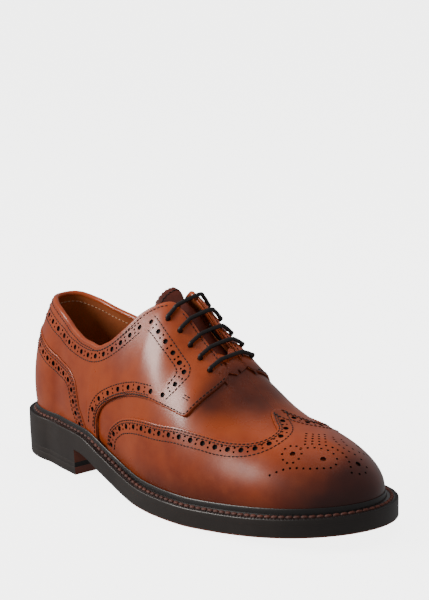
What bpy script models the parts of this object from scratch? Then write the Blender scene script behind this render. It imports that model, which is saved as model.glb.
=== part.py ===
"""Brogue shoe for the right foot: a full-brogue derby on a storm-welted leather sole.

Every leather piece is cut from one last. A place on the last is given by `along`, from 0 at the
middle of the heel to 1 at the middle of the toe, and `up`, from 0 at the feather line, where the
upper meets the sole, to 1 on the crest. Toe along +X, outer (lateral) side towards -Y, metres.
"""
import bpy
import bmesh
import numpy as np

# Driving dimensions
SOLE_LENGTH = 0.302
BALL_WIDTH = 0.107
INSTEP_HEIGHT = 0.119
HEEL_HEIGHT = 0.0165
TOE_SPRING = 0.0092
OUTSOLE_THICKNESS = 0.0076
WELT_THICKNESS = 0.0036
STORM_RIDGE = 0.0038
RIDGE_WIDTH = 0.0030
WELT_AT_TOE = 0.0100
WELT_AT_HEEL = 0.0075
HEEL_TAPER = 0.0027
TOP_PIECE = 0.0050
HEEL_BAND = 0.0030
INSOLE_THICKNESS = 0.0030
INSOLE_CLEARANCE = 0.0008
UPPER_WALL = 0.0018
OVERLAY = 0.0012
OVERLAY_GAP = 0.0004
TONGUE_WALL = 0.0020
TONGUE_DROP = 0.0042
TONGUE_FLARE = 0.0055
TONGUE_HALF = 0.38
LACE_DIAMETER = 0.0028
EYELET_HOLE = 0.0046
EYELET_TO_EDGE = 0.0105
EDGE_BEVEL = 0.0007
RIDGE_FOOT = 0.0006
GAP = 0.0003

# Places along the sole, as shares of its length
HEEL_ROUND = 0.13
TOE_ROUND = 0.75
BREAST = 0.255
FLAT_END = 0.66
SPINE_END = 0.885

# `along` where the heel's round ends and where the toe's round starts
ALONG_HEEL = 0.165
ALONG_TOE = 0.705

# `along` where the throat starts to narrow and where it is closed, and where the tabs end
THROAT_NARROWS = 0.622
THROAT_CLOSED = 0.636
TAB_END = 0.612

# Half the gap of the back seam and the gap from quarter to counter, in `along` and in rows
BACK_SEAM = 0.0015
COUNTER_SEAM = 0.004

# Share of the way to the top edge where the quarters stop, and the inner tab's rise over the outer
COLLAR_SHARE = 0.985
INNER_TAB_RISE = 0.11

# `up` beyond which the crest's own normal is used, and `up` of the welt's ridge beside the upper
NEAR_CREST = 0.985
RIDGE_UP = 0.035

# Sole outline: share of the length, half-breadth and middle as shares of the ball width
OUTLINE = np.array([
    (0.00, 0.272, -0.006),
    (0.13, 0.274, -0.006),
    (0.20, 0.300, -0.016),
    (0.30, 0.322, -0.042),
    (0.40, 0.341, -0.075),
    (0.50, 0.387, -0.088),
    (0.60, 0.450, -0.057),
    (0.68, 0.490, -0.011),
    (0.75, 0.501, 0.026),
    (0.82, 0.501, 0.043),
    (0.88, 0.501, 0.046),
    (1.00, 0.501, 0.043),
])

# Underside of the sole: share of the length, height as a share of the heel height
RISE = np.array([
    (0.00, 1.00),
    (0.20, 1.00),
    (0.27, 0.97),
    (0.36, 0.60),
    (0.45, 0.21),
    (0.52, 0.04),
    (0.58, 0.00),
    (1.00, 0.00),
])

# Crest of the last: share of the length, height / instep height, drift inwards / ball width
CREST = np.array([
    (0.13, 1.070, 0.025),
    (0.25, 1.050, 0.022),
    (0.36, 1.040, 0.028),
    (0.46, 1.018, 0.042),
    (0.50, 0.972, 0.045),
    (0.56, 0.845, 0.042),
    (0.62, 0.745, 0.036),
    (0.66, 0.660, 0.032),
    (0.72, 0.547, 0.032),
    (0.78, 0.482, 0.036),
    (0.84, 0.450, 0.042),
    (0.90, 0.428, 0.045),
])

# Ribs: along, power of the inward sweep, power of the rise, outer and inner bulge / ball width
RIB = np.array([
    (0.000, 1.45, 1.00, 0.032, 0.032),
    (0.165, 1.35, 1.00, 0.032, 0.032),
    (0.350, 1.00, 1.00, 0.028, 0.044),
    (0.500, 0.95, 1.00, 0.024, 0.056),
    (0.600, 0.92, 1.00, 0.024, 0.056),
    (0.705, 0.85, 1.00, 0.019, 0.032),
    (0.850, 0.90, 0.95, 0.015, 0.019),
    (1.000, 1.00, 0.92, 0.013, 0.013),
])

# Top edge of the upper: along, up on the outer side, up on the inner side
TOPLINE = np.array([
    (0.000, 0.515, 0.515),
    (0.060, 0.515, 0.523),
    (0.125, 0.490, 0.500),
    (0.175, 0.448, 0.475),
    (0.226, 0.414, 0.452),
    (0.268, 0.396, 0.438),
    (0.310, 0.396, 0.436),
    (0.344, 0.436, 0.468),
    (0.385, 0.532, 0.560),
    (0.414, 0.632, 0.665),
    (0.450, 0.755, 0.840),
    (0.472, 0.845, 0.945),
    (0.485, 0.856, 0.972),
    (0.540, 0.858, 0.976),
    (0.600, 0.862, 0.978),
    (THROAT_NARROWS, 0.885, 0.982),
    (THROAT_CLOSED, 1.000, 1.000),
])

# Rear edge of the wing cap, from the sole up to its peak on the crest: along, up
WING_EDGE = [
    (0.368, -0.20), (0.370, 0.04), (0.380, 0.105), (0.399, 0.150), (0.427, 0.193), (0.478, 0.238),
    (0.522, 0.280), (0.597, 0.368), (0.651, 0.453), (0.701, 0.540), (0.734, 0.640), (0.748, 0.740),
    (0.746, 0.840), (0.722, 0.905), (0.702, 0.957), (0.696, 1.000),
]

# Lower edge of the quarter, from the front of its tab back and down to the sole: along, up
QUARTER_EDGE = [
    (0.616, 0.845), (0.621, 0.780), (0.611, 0.550), (0.606, 0.470), (0.597, 0.440), (0.582, 0.424),
    (0.542, 0.386), (0.493, 0.343), (0.438, 0.298), (0.382, 0.228), (0.341, 0.140), (0.318, 0.060),
    (0.308, 0.00), (0.304, -0.20),
]

# Front edge of the heel counter, from the sole up to the back seam: along, up
COUNTER_EDGE = [
    (0.296, -0.20), (0.290, 0.00), (0.281, 0.062), (0.270, 0.100), (0.262, 0.158), (0.253, 0.203),
    (0.228, 0.246), (0.186, 0.266), (0.149, 0.286), (0.118, 0.310), (0.060, 0.352), (0.000, 0.372),
]

# Eyelets from the top pair to the bottom pair, and the tongue from its top to its sewn end: along
EYELETS = (0.483, 0.514, 0.543, 0.570, 0.595)
TONGUE_TOP = 0.420
TONGUE_END = 0.672

# Tongue: `along` where it is sewn and where it comes free, its corners' drop and its flare's half
TONGUE_SEWN = 0.610
TONGUE_FREE = 0.460
TONGUE_CORNER = 0.008
TONGUE_FLARE_HALF = 0.36

# Lace: `up` from an eyelet to where it lies flat, and `up` of its hidden run below the eyelets
LACE_FLAT = 0.024
LACE_HIDDEN = 0.085

# Mesh steps
STATIONS = 39
ROWS = 9
SOLE_STATIONS = 31
HEEL_STATIONS = 17


def smooth(x, table, column=1):
    """Monotone cubic through one column of a table: no overshoot between its rows."""
    xs = table[:, 0]
    ys = table[:, column]
    step = np.diff(xs)
    slope = np.diff(ys) / step
    before = 2 * step[1:] + step[:-1]
    after = step[1:] + 2 * step[:-1]
    turn = slope[:-1] * slope[1:] <= 0
    left = np.where(turn, 1.0, slope[:-1])
    right = np.where(turn, 1.0, slope[1:])
    inner = np.where(turn, 0.0, (before + after) / (before / left + after / right))
    tangent = np.concatenate([slope[:1], inner, slope[-1:]])
    x = np.clip(x, xs[0], xs[-1])
    i = np.clip(np.searchsorted(xs, x, "right") - 1, 0, len(xs) - 2)
    t = (x - xs[i]) / step[i]
    rise = (1 + 2 * t) * (1 - t) ** 2 * ys[i] + t * t * (3 - 2 * t) * ys[i + 1]
    bend = t * (1 - t) ** 2 * tangent[i] + t * t * (t - 1) * tangent[i + 1]
    return rise + bend * step[i]


def sole_bottom(share):
    """Height of the sole's underside: the shank's drop from the heel, flat, then the toe spring."""
    spring = np.clip((share - FLAT_END) / (1 - FLAT_END), 0, None) ** 1.41
    return HEEL_HEIGHT * smooth(share, RISE) + TOE_SPRING * spring


def welt_top(share):
    """Height of the welt's flat top, which is the feather line."""
    return sole_bottom(share) + OUTSOLE_THICKNESS + WELT_THICKNESS


def station(along):
    """Share of the length and the closing of the outline: quarter ellipses at heel and toe."""
    along = np.asarray(along, float)
    heel = np.pi / 2 * np.clip(along / ALONG_HEEL, 0, 1)
    toe = np.pi / 2 * np.clip((1 - along) / (1 - ALONG_TOE), 0, 1)
    middle = HEEL_ROUND + (TOE_ROUND - HEEL_ROUND) * (along - ALONG_HEEL) / (ALONG_TOE - ALONG_HEEL)
    share = np.where(along < ALONG_HEEL, HEEL_ROUND * (1 - np.cos(heel)), middle)
    share = np.where(along > ALONG_TOE, 1 - (1 - TOE_ROUND) * (1 - np.cos(toe)), share)
    closing = np.where(along < ALONG_HEEL, np.sin(heel), np.where(along > ALONG_TOE, np.sin(toe), 1.0))
    return share, closing


def edges_of_sole():
    """Widest points of the sole outline on the outer and the inner side, before centring."""
    share = np.linspace(0, 1, 201)
    half = smooth(share, OUTLINE, 1)
    middle = smooth(share, OUTLINE, 2)
    body = (share > HEEL_ROUND) & (share < TOE_ROUND + 0.02)
    return BALL_WIDTH * (middle - half)[body].min(), BALL_WIDTH * (middle + half)[body].max()


MIDDLE_Y = sum(edges_of_sole()) / 2


def outline(side, along, inset_heel=0.0, inset_toe=0.0):
    """Plan of the sole, drawn in by two insets that blend through the waist."""
    share, closing = station(along)
    inset = inset_heel + (inset_toe - inset_heel) * np.clip((share - 0.3) / 0.25, 0, 1)
    half = BALL_WIDTH * smooth(share, OUTLINE, 1) - inset
    x = inset_heel + share * (SOLE_LENGTH - inset_heel - inset_toe) - SOLE_LENGTH / 2
    y = BALL_WIDTH * smooth(share, OUTLINE, 2) + side * half * closing - MIDDLE_Y
    return x, y, share


def spine(along):
    """Point of the crest that a rib runs to: ribs fan out at the heel and round the toe."""
    slope = (TOE_ROUND - HEEL_ROUND) / (ALONG_TOE - ALONG_HEEL)
    reach = SPINE_END - TOE_ROUND
    share = HEEL_ROUND + slope * (along - ALONG_HEEL)
    fan = TOE_ROUND + reach * (1 - np.exp(-slope / reach * np.clip(along - ALONG_TOE, 0, None)))
    share = np.where(along > ALONG_TOE, fan, share)
    share = np.where(along < 2 * ALONG_HEEL, HEEL_ROUND + slope * along ** 2 / (4 * ALONG_HEEL), share)
    x = WELT_AT_HEEL + share * (SOLE_LENGTH - WELT_AT_HEEL - WELT_AT_TOE) - SOLE_LENGTH / 2
    return x, BALL_WIDTH * smooth(share, CREST, 2) - MIDDLE_Y, INSTEP_HEIGHT * smooth(share, CREST, 1)


def slope_of_crest(along):
    """Rise of the crest per metre of its run, where the rib along it ends."""
    step = 1e-3
    ahead = spine(np.clip(along + step, 0, 1))
    behind = spine(np.clip(along - step, 0, 1))
    return (ahead[2] - behind[2]) / np.maximum(ahead[0] - behind[0], 1e-9)


def rib(side, along, up):
    """Point on the last: from its base to the crest by powers of cosine and sine, with a bulge.

    The inward way is 1 - cos^p, the rise is sin^m, the bulge is a sine of the rise, and round the
    toe a lean makes each rib meet the crest at the crest's own slope.
    """
    x, y, share = outline(side, along, WELT_AT_HEEL, WELT_AT_TOE)
    base = welt_top(share)
    crest_x, crest_y, crest_z = spine(along)
    crest_slope = slope_of_crest(along)
    step = 1e-3
    ahead = outline(side, np.clip(along + step, 0, 1), WELT_AT_HEEL, WELT_AT_TOE)
    behind = outline(side, np.clip(along - step, 0, 1), WELT_AT_HEEL, WELT_AT_TOE)
    run_x = np.where((along <= 0) | (along >= 1), 0.0, ahead[0] - behind[0])
    run_y = ahead[1] - behind[1]
    run = np.hypot(run_x, run_y)
    out_x = -side * run_y / run
    out_y = side * run_x / run
    bulge = BALL_WIDTH * np.where(side < 0, smooth(along, RIB, 3), smooth(along, RIB, 4))
    angle = np.pi / 2 * np.clip(up, 0, 1)
    inward = 1 - np.abs(np.cos(angle)) ** smooth(along, RIB, 1)
    rise = np.abs(np.sin(angle)) ** smooth(along, RIB, 2)
    swell = bulge * np.sin(np.pi * rise ** 0.75)
    lean = crest_slope * (x - crest_x) * (1 - inward) * rise
    drop = WELT_THICKNESS - GAP
    return np.stack([
        x + (crest_x - x) * inward + swell * out_x,
        y + (crest_y - y) * inward + swell * out_y,
        base + (crest_z - base) * rise + lean + drop * np.clip(up, None, 0) / 0.1,
    ], -1)


def normal(side, along, up):
    """Outward normal of the last, by differences; on the crest the mean of both sides."""
    step = 2e-3
    up = np.clip(up, 0, NEAR_CREST)
    higher = rib(side, along, np.clip(up + step, 0, 1))
    lower = rib(side, along, np.clip(up - step, 0, 1))
    ahead = rib(side, np.clip(along + step, 0, 1), up)
    behind = rib(side, np.clip(along - step, 0, 1), up)
    across = np.cross(higher - lower, ahead - behind) * np.asarray(side)[..., None]
    return across / np.linalg.norm(across, axis=-1, keepdims=True)


def skin(side, along, up, lift=0.0):
    """Point at a height `lift` over the last; at up below 0 the wall drops inside the welt."""
    side, along, up, lift = np.broadcast_arrays(*(np.asarray(v, float) for v in (side, along, up, lift)))
    direction = normal(side, along, up)
    other = normal(-side, along, up)
    joined = (up > 0.9995) | (along < 1e-6) | (along > 1 - 1e-6)
    direction = np.where(joined[..., None], direction + other, direction)
    flat = np.clip(up / 0.04, 0, 1)[..., None]
    direction = direction * np.concatenate([np.ones_like(flat), np.ones_like(flat), flat], -1)
    direction /= np.linalg.norm(direction, axis=-1, keepdims=True)
    return rib(side, along, up) + direction * lift[..., None]


def top_edge(side, along):
    """`up` of the upper's top edge: collar, then throat, then the crest where it is closed."""
    return np.where(np.asarray(side) < 0, smooth(along, TOPLINE, 1), smooth(along, TOPLINE, 2))


def material(name, colour, roughness, coat=0.0):
    """Principled material with one colour, roughness and coat."""
    finish = bpy.data.materials.new(name)
    finish.use_nodes = True
    shader = finish.node_tree.nodes["Principled BSDF"]
    shader.inputs["Base Color"].default_value = (*colour, 1.0)
    shader.inputs["Roughness"].default_value = roughness
    shader.inputs["Metallic"].default_value = 0.0
    shader.inputs["Coat Weight"].default_value = coat
    return finish


def face_outward(work):
    """Turns every face of a closed mesh outwards."""
    bmesh.ops.recalc_face_normals(work, faces=work.faces)
    if work.calc_volume(signed=True) < 0:
        bmesh.ops.reverse_faces(work, faces=work.faces)


def add_object(name, mesh, finish):
    """Object with its mesh, material and smooth shading up to a sharp angle."""
    mesh.materials.clear()
    mesh.materials.append(finish)
    mesh.shade_smooth()
    mesh.set_sharp_from_angle(angle=np.radians(40))
    piece = bpy.data.objects.new(name, mesh)
    bpy.context.scene.collection.objects.link(piece)
    return piece


def mesh_from(name, points, faces):
    """Closed mesh from points and faces, with coincident points joined and normals outward."""
    mesh = bpy.data.meshes.new(name)
    mesh.from_pydata([tuple(p) for p in points], [], faces)
    work = bmesh.new()
    work.from_mesh(mesh)
    bmesh.ops.remove_doubles(work, verts=work.verts, dist=2e-6)
    bmesh.ops.dissolve_degenerate(work, edges=work.edges, dist=1e-6)
    face_outward(work)
    work.to_mesh(mesh)
    work.free()
    return mesh


def sole_ring(along, inset_heel, inset_toe, height):
    """Closed ring round the sole: outer side heel to toe, inner side back; height(share) gives z."""
    outer = outline(-1, along, inset_heel, inset_toe)
    inner = outline(1, along, inset_heel, inset_toe)
    back = slice(None, None, -1)
    x = np.concatenate([outer[0], inner[0][back]])
    y = np.concatenate([outer[1], inner[1][back]])
    share = np.concatenate([outer[2], inner[2][back]])
    return np.stack([x, y, height(share)], -1)


def stack(name, rings, finish):
    """Solid from rings piled up, with straight strips across the first and the last ring."""
    points = np.concatenate(rings)
    count = len(rings[0])
    faces = []
    for level in range(len(rings) - 1):
        start = level * count
        for i in range(count):
            j = (i + 1) % count
            faces.append((start + i, start + j, start + count + j, start + count + i))
    for start in (0, (len(rings) - 1) * count):
        for i in range(count // 2 - 1):
            mate = count - 1 - i
            faces.append((start + i, start + i + 1, start + mate - 1, start + mate))
    return add_object(name, mesh_from(name, points, faces), finish)


def loop_band(name, rings, finish):
    """Closed ring-shaped solid: its profile's rings follow each other and close on the first."""
    points = np.concatenate(rings)
    count = len(rings[0])
    faces = []
    for level in range(len(rings)):
        start = level * count
        following = (level + 1) % len(rings) * count
        for i in range(count):
            j = (i + 1) % count
            faces.append((start + i, start + j, following + j, following + i))
    return add_object(name, mesh_from(name, points, faces), finish)


def sole_and_heel(finishes):
    """Outsole, welt with its storm ridge, insole and the three layers of the heel."""
    along = np.linspace(0, 1, SOLE_STATIONS)
    top = OUTSOLE_THICKNESS - GAP
    stack("outsole", [
        sole_ring(along, EDGE_BEVEL, EDGE_BEVEL, sole_bottom),
        sole_ring(along, 0, 0, lambda s: sole_bottom(s) + EDGE_BEVEL),
        sole_ring(along, 0, 0, lambda s: sole_bottom(s) + top),
    ], finishes["edge"])

    def beside_upper(up):
        """Ring round the upper, clear of its overlays."""
        outer, inner = (skin(side, along, up, OVERLAY_GAP + OVERLAY + 2 * GAP) for side in (-1, 1))
        return np.concatenate([outer, inner[::-1]])

    def outward(ring, distance):
        """Moves a ring out towards the sole's edge by a distance, level."""
        edge = sole_ring(along, 0, 0, sole_bottom)
        way = edge[:, :2] - ring[:, :2]
        way /= np.linalg.norm(way, axis=1, keepdims=True)
        moved = ring.copy()
        moved[:, :2] += way * distance
        return moved

    share = np.concatenate([station(along)[0], station(along)[0][::-1]])
    flat_top = welt_top(share)
    inner = beside_upper(0.0)
    crown = beside_upper(RIDGE_UP)
    crown[:, 2] = flat_top + STORM_RIDGE

    def at_height(ring, z):
        """Copy of a ring at other heights."""
        level = ring.copy()
        level[:, 2] = z
        return level

    foot = at_height(outward(crown, RIDGE_WIDTH), flat_top + RIDGE_FOOT)
    shoulder = at_height(outward(crown, 0.55 * RIDGE_WIDTH), flat_top + 0.8 * STORM_RIDGE)
    loop_band("welt", [
        at_height(inner, flat_top - WELT_THICKNESS),
        at_height(inner, flat_top),
        crown,
        shoulder,
        foot,
        sole_ring(along, EDGE_BEVEL, EDGE_BEVEL, welt_top),
        sole_ring(along, 0, 0, lambda s: welt_top(s) - EDGE_BEVEL),
        sole_ring(along, 0, 0, lambda s: sole_bottom(s) + OUTSOLE_THICKNESS),
    ], finishes["edge"])

    inside_heel = WELT_AT_HEEL + UPPER_WALL + INSOLE_CLEARANCE
    inside_toe = WELT_AT_TOE + UPPER_WALL + INSOLE_CLEARANCE
    stack("insole", [
        sole_ring(along, inside_heel, inside_toe, lambda s: sole_bottom(s) + OUTSOLE_THICKNESS),
        sole_ring(along, inside_heel, inside_toe,
                  lambda s: sole_bottom(s) + OUTSOLE_THICKNESS + INSOLE_THICKNESS),
    ], finishes["lining"])

    breast = ALONG_HEEL + (BREAST - HEEL_ROUND) * (ALONG_TOE - ALONG_HEEL) / (TOE_ROUND - HEEL_ROUND)
    heel_along = np.linspace(0, breast, HEEL_STATIONS)

    def heel_ring(z):
        """Ring of the heel at one height, drawn in evenly from the sole down to the floor."""
        inset = HEEL_TAPER * (1 - z / HEEL_HEIGHT)
        return sole_ring(heel_along, inset, inset, lambda s: np.full_like(s, z))

    lifts = TOP_PIECE + HEEL_BAND
    stack("top_piece", [heel_ring(0.0), heel_ring(TOP_PIECE - GAP)], finishes["heel_base"])
    stack("heel_band", [heel_ring(TOP_PIECE), heel_ring(lifts - GAP)], finishes["band"])
    seat = sole_ring(heel_along, 0, 0, lambda s: sole_bottom(s) - GAP)
    stack("heel_lifts", [heel_ring(lifts), seat], finishes["heel"])


def pattern_slab(name, across, rows):
    """Flat slab of a leather piece: X is signed `along` from its middle, Y is the row, Z 0 to 1."""
    verts = []
    faces = []
    columns = len(across)
    for z in (0.0, 1.0):
        for row in rows:
            verts += [(x, row, z) for x in across]
    layer = columns * len(rows)
    for j in range(len(rows) - 1):
        for i in range(columns - 1):
            a = j * columns + i
            quad = (a, a + 1, a + columns + 1, a + columns)
            faces.append(quad[::-1])
            faces.append(tuple(v + layer for v in quad))
    rim = [i for i in range(columns)]
    rim += [j * columns + columns - 1 for j in range(1, len(rows))]
    rim += [(len(rows) - 1) * columns + i for i in range(columns - 2, -1, -1)]
    rim += [j * columns for j in range(len(rows) - 2, 0, -1)]
    for a, b in zip(rim, rim[1:] + rim[:1]):
        faces.append((a, b, b + layer, a + layer))
    mesh = bpy.data.meshes.new(name + "_pattern")
    mesh.from_pydata(verts, [], faces)
    return mesh


def pattern_knife(name, corners):
    """Cutter in pattern space: the outline of the leather piece, taller than the slab."""
    count = len(corners)
    verts = [(x, y, z) for z in (-1.0, 2.0) for x, y in corners]
    faces = [tuple(range(count))[::-1], tuple(range(count, 2 * count))]
    faces += [(i, (i + 1) % count, (i + 1) % count + count, i + count) for i in range(count)]
    mesh = bpy.data.meshes.new(name + "_knife")
    mesh.from_pydata(verts, [], faces)
    work = bmesh.new()
    work.from_mesh(mesh)
    face_outward(work)
    work.to_mesh(mesh)
    work.free()
    return mesh


def cut_pattern(name, slab, corners):
    """Slab cut to its outline with a Boolean, read back as a bmesh in pattern space."""
    cloth = bpy.data.objects.new(name + "_pattern", slab)
    knife = bpy.data.objects.new(name + "_knife", pattern_knife(name, corners))
    for helper in (cloth, knife):
        bpy.context.scene.collection.objects.link(helper)
        helper.hide_render = True
        helper.display_type = "WIRE"
    cut = cloth.modifiers.new("outline", "BOOLEAN")
    cut.operation = "INTERSECT"
    cut.solver = "EXACT"
    cut.object = knife
    bpy.context.view_layer.update()
    evaluated = cloth.evaluated_get(bpy.context.evaluated_depsgraph_get())
    work = bmesh.new()
    work.from_mesh(evaluated.to_mesh())
    evaluated.to_mesh_clear()
    for helper in (cloth, knife):
        bpy.data.objects.remove(helper)
    return work


def lasted(name, work, place, lifts, weld, finish):
    """Pulls a flat piece over the last: its faces go to the two lifts that lifts(along, up) gives."""
    bmesh.ops.triangulate(work, faces=work.faces)
    coords = np.array([v.co[:] for v in work.verts])
    side, along, up = place(coords[:, 0], coords[:, 1])
    low, high = lifts(along, up)
    lift = low + (high - low) * coords[:, 2]
    points = skin(side, along, up, lift)
    seams = [f for f in work.faces if all(weld(v.co.x, v.co.y) for v in f.verts)]
    for vert, point in zip(list(work.verts), points):
        vert.co = point
    bmesh.ops.delete(work, geom=seams, context="FACES_ONLY")
    bmesh.ops.remove_doubles(work, verts=work.verts, dist=5e-6)
    bmesh.ops.dissolve_degenerate(work, edges=work.edges, dist=2e-6)
    bmesh.ops.triangulate(work, faces=work.faces)
    face_outward(work)
    mesh = bpy.data.meshes.new(name)
    work.to_mesh(mesh)
    work.free()
    return add_object(name, mesh, finish)


def grid_stations():
    """`along` of the upper's columns: even, and closer where the throat closes."""
    return np.unique(np.concatenate([np.linspace(0, 1, STATIONS), [THROAT_NARROWS, THROAT_CLOSED]]))


def grid_rows():
    """Rows of the upper: one below the feather line, then even shares of the way to the top."""
    return np.concatenate([[-0.1], np.linspace(0, 1, ROWS)])


def at_toe(x, y):
    """Pattern space that wraps round the toe: X = -(1 - along) outer side, + inner side."""
    side = np.where(x < 0, -1.0, 1.0)
    along = 1 - np.abs(x)
    up = np.where(y < 0, y, y * top_edge(side, along))
    return side, along, up


def at_heel(x, y):
    """Pattern space that wraps round the heel: X = -along on the outer side, + on the inner."""
    side = np.where(x < 0, -1.0, 1.0)
    along = np.abs(x)
    up = np.where(y < 0, y, y * top_edge(side, along))
    return side, along, up


def overlay_lifts(along, up):
    """Inner and outer face of an overlay over the upper."""
    return OVERLAY_GAP, OVERLAY_GAP + OVERLAY


def fair(points, steps=3):
    """More points on a smooth curve through an outline's own points (Catmull-Rom)."""
    p = np.array(points)
    p = np.concatenate([2 * p[:1] - p[1:2], p, 2 * p[-1:] - p[-2:-1]])
    t = np.linspace(0, 1, steps, endpoint=False)[:, None]
    runs = []
    for a, b, c, d in zip(p, p[1:], p[2:], p[3:]):
        runs.append(0.5 * (2 * b + (c - a) * t + (2 * a - 5 * b + 4 * c - d) * t ** 2
                           + (3 * b - 3 * c + d - a) * t ** 3))
    return [tuple(q) for q in np.concatenate(runs + [p[-2:-1]])]


def row_of(side, along, up):
    """Row of a place: its share of the way to the top edge."""
    return up if up < 0 else up / float(top_edge(side, along))


def make_upper(finish):
    """Upper: one hollow shell, open at collar and throat and underneath."""
    columns = grid_stations()
    wrap = np.concatenate([columns - 1, (1 - columns[::-1])[1:]])
    work = bmesh.new()
    work.from_mesh(pattern_slab("upper", wrap, grid_rows()))
    closed_from = 1 - THROAT_CLOSED

    def weld(x, y):
        on_crest = y > 0.9999 and abs(x) < closed_from + 1e-5
        return on_crest or abs(x) > 0.99999

    return lasted("upper", work, at_toe, lambda along, up: (-UPPER_WALL, 0.0), weld, finish)


def make_wing_cap(finish):
    """Wing cap: an overlay round the toe, cut back to its peaked edge and its long wings."""
    first = WING_EDGE[0][0]
    columns = [a for a in grid_stations() if a > first - 0.04]
    half = [a - 1 for a in columns]
    wrap = half + [-x for x in half[::-1]][1:]
    slab = pattern_slab("wing_cap", wrap, grid_rows())
    curve = fair(WING_EDGE)
    edge = [(a - 1, row_of(-1, a, u)) for a, u in curve]
    edge[-1] = (edge[-1][0], 1.0)
    outer = edge + [(edge[-1][0], 1.3)]
    inner = [(1 - a, row_of(1, a, u)) for a, u in curve]
    inner[-1] = (inner[-1][0], 1.0)
    inner += [(inner[-1][0], 1.3)]
    work = cut_pattern("wing_cap", slab, outer + inner[::-1])

    def weld(x, y):
        return y > 0.9999

    return lasted("wing_cap", work, at_toe, overlay_lifts, weld, finish)


def make_quarter(name, side, finish):
    """Quarter with its facing and tab, from the heel counter to the throat, on one side."""
    columns = [a for a in grid_stations() if a < 0.66]
    flat = [side * a for a in columns]
    slab = pattern_slab(name, sorted(flat), grid_rows())
    rise = 0.0 if side < 0 else INNER_TAB_RISE
    lower = [(a, row_of(side, a, min(u + rise * u * (1.0 if a > 0.5 else 0.6), 0.97)))
             for a, u in QUARTER_EDGE]
    rear = [(a + COUNTER_SEAM, row_of(side, a, u) + COUNTER_SEAM) for a, u in COUNTER_EDGE]
    rear[-1] = (BACK_SEAM, rear[-1][1])
    corners = rear + [(BACK_SEAM, COLLAR_SHARE), (TAB_END, COLLAR_SHARE)] + lower
    work = cut_pattern(name, slab, [(side * a, row) for a, row in corners])
    return lasted(name, work, at_heel, overlay_lifts, lambda x, y: False, finish)


def make_tongue(finish):
    """Tongue: a strip over the crest under the facings, sewn in under the vamp at its low end."""
    work = bmesh.new()
    across = np.linspace(-TONGUE_HALF, TONGUE_HALF, 9)
    work.from_mesh(pattern_slab("tongue", np.linspace(0, 1, 12), across))

    def place(x, y):
        top = TONGUE_TOP + TONGUE_CORNER * (np.abs(y) / TONGUE_HALF) ** 2.5
        along = top + (TONGUE_END - top) * x
        return np.where(y < 0, -1.0, 1.0), along, 1 - np.abs(y)

    def lifts(along, up):
        sewn = np.clip((along - TONGUE_SEWN) / (TONGUE_END - TONGUE_SEWN), 0, 1)
        free = np.clip((TONGUE_FREE - along) / (TONGUE_FREE - TONGUE_TOP), 0, 1)
        middle = np.clip(1 - ((1 - up) / TONGUE_FLARE_HALF) ** 2, 0, 1)
        flare = TONGUE_FLARE * free * free * (3 - 2 * free) * middle
        outer = flare - UPPER_WALL - GAP - TONGUE_DROP * (1 - sewn * sewn * (3 - 2 * sewn))
        return outer - TONGUE_WALL, outer

    return lasted("tongue", work, place, lifts, lambda x, y: False, finish)


def eyelet(side, along):
    """Place of an eyelet: up on its side, a set distance below the throat's edge."""
    up = np.linspace(0.4, float(top_edge(side, along)), 241)
    points = rib(side, np.full_like(up, along), up)
    distance = np.linalg.norm(points - points[-1], axis=1)
    return float(np.interp(-EYELET_TO_EDGE, -distance, up))


def eyelet_punch():
    """Cutter for every eyelet hole: one six-sided pin each, square to the leather."""
    work = bmesh.new()
    for side in (-1, 1):
        for along in EYELETS:
            up = eyelet(side, along)
            foot = skin(side, along, up, -2.5 * UPPER_WALL)
            head = skin(side, along, up, 3.0 * OVERLAY)
            axis = (head - foot) / np.linalg.norm(head - foot)
            level = np.cross(axis, (0.0, 0.0, 1.0))
            level /= np.linalg.norm(level)
            rise = np.cross(axis, level)
            turn = np.linspace(0, 2 * np.pi, 6, endpoint=False)
            round_hole = EYELET_HOLE / 2 * (np.cos(turn)[:, None] * level + np.sin(turn)[:, None] * rise)
            low = [work.verts.new(tuple(foot + r)) for r in round_hole]
            high = [work.verts.new(tuple(head + r)) for r in round_hole]
            work.faces.new(low)
            work.faces.new(high)
            for i in range(6):
                j = (i + 1) % 6
                work.faces.new((low[i], low[j], high[j], high[i]))
    face_outward(work)
    mesh = bpy.data.meshes.new("eyelet_punch")
    work.to_mesh(mesh)
    work.free()
    punch = bpy.data.objects.new("eyelet_punch", mesh)
    bpy.context.scene.collection.objects.link(punch)
    punch.hide_render = True
    punch.display_type = "WIRE"
    return punch


def punch_eyelets(pieces, punch):
    """Cuts the eyelet holes through the facings."""
    for piece in pieces:
        holes = piece.modifiers.new("eyelets", "BOOLEAN")
        holes.operation = "DIFFERENCE"
        holes.solver = "EXACT"
        holes.object = punch


def lace_route():
    """Middle line of the lace: five bars over the throat, and under the facings between them."""
    over = OVERLAY_GAP + OVERLAY + GAP + LACE_DIAMETER / 2
    under = -UPPER_WALL - 2 * GAP - LACE_DIAMETER / 2
    route = []
    pairs = EYELETS[::-1]
    for number, along in enumerate(pairs):
        first = -1 if number % 2 == 0 else 1
        for side in (first, -first):
            up = eyelet(side, along)
            edge = float(top_edge(side, along))
            turn = [skin(side, along, up, lift) for lift in (under, 0.9 * over)]
            turn.append(skin(side, along, up + LACE_FLAT, over))
            turn.append(skin(side, along, 0.4 * up + 0.6 * edge, over))
            turn.append(skin(side, along, edge, over))
            entering = side == first
            if number == 0 and entering:
                tail = np.linspace(EYELETS[0], along, 8)[:-1]
                route += [skin(side, a, eyelet(side, a) - LACE_HIDDEN, under) for a in tail]
            route += turn if entering else turn[::-1]
    return route


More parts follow.
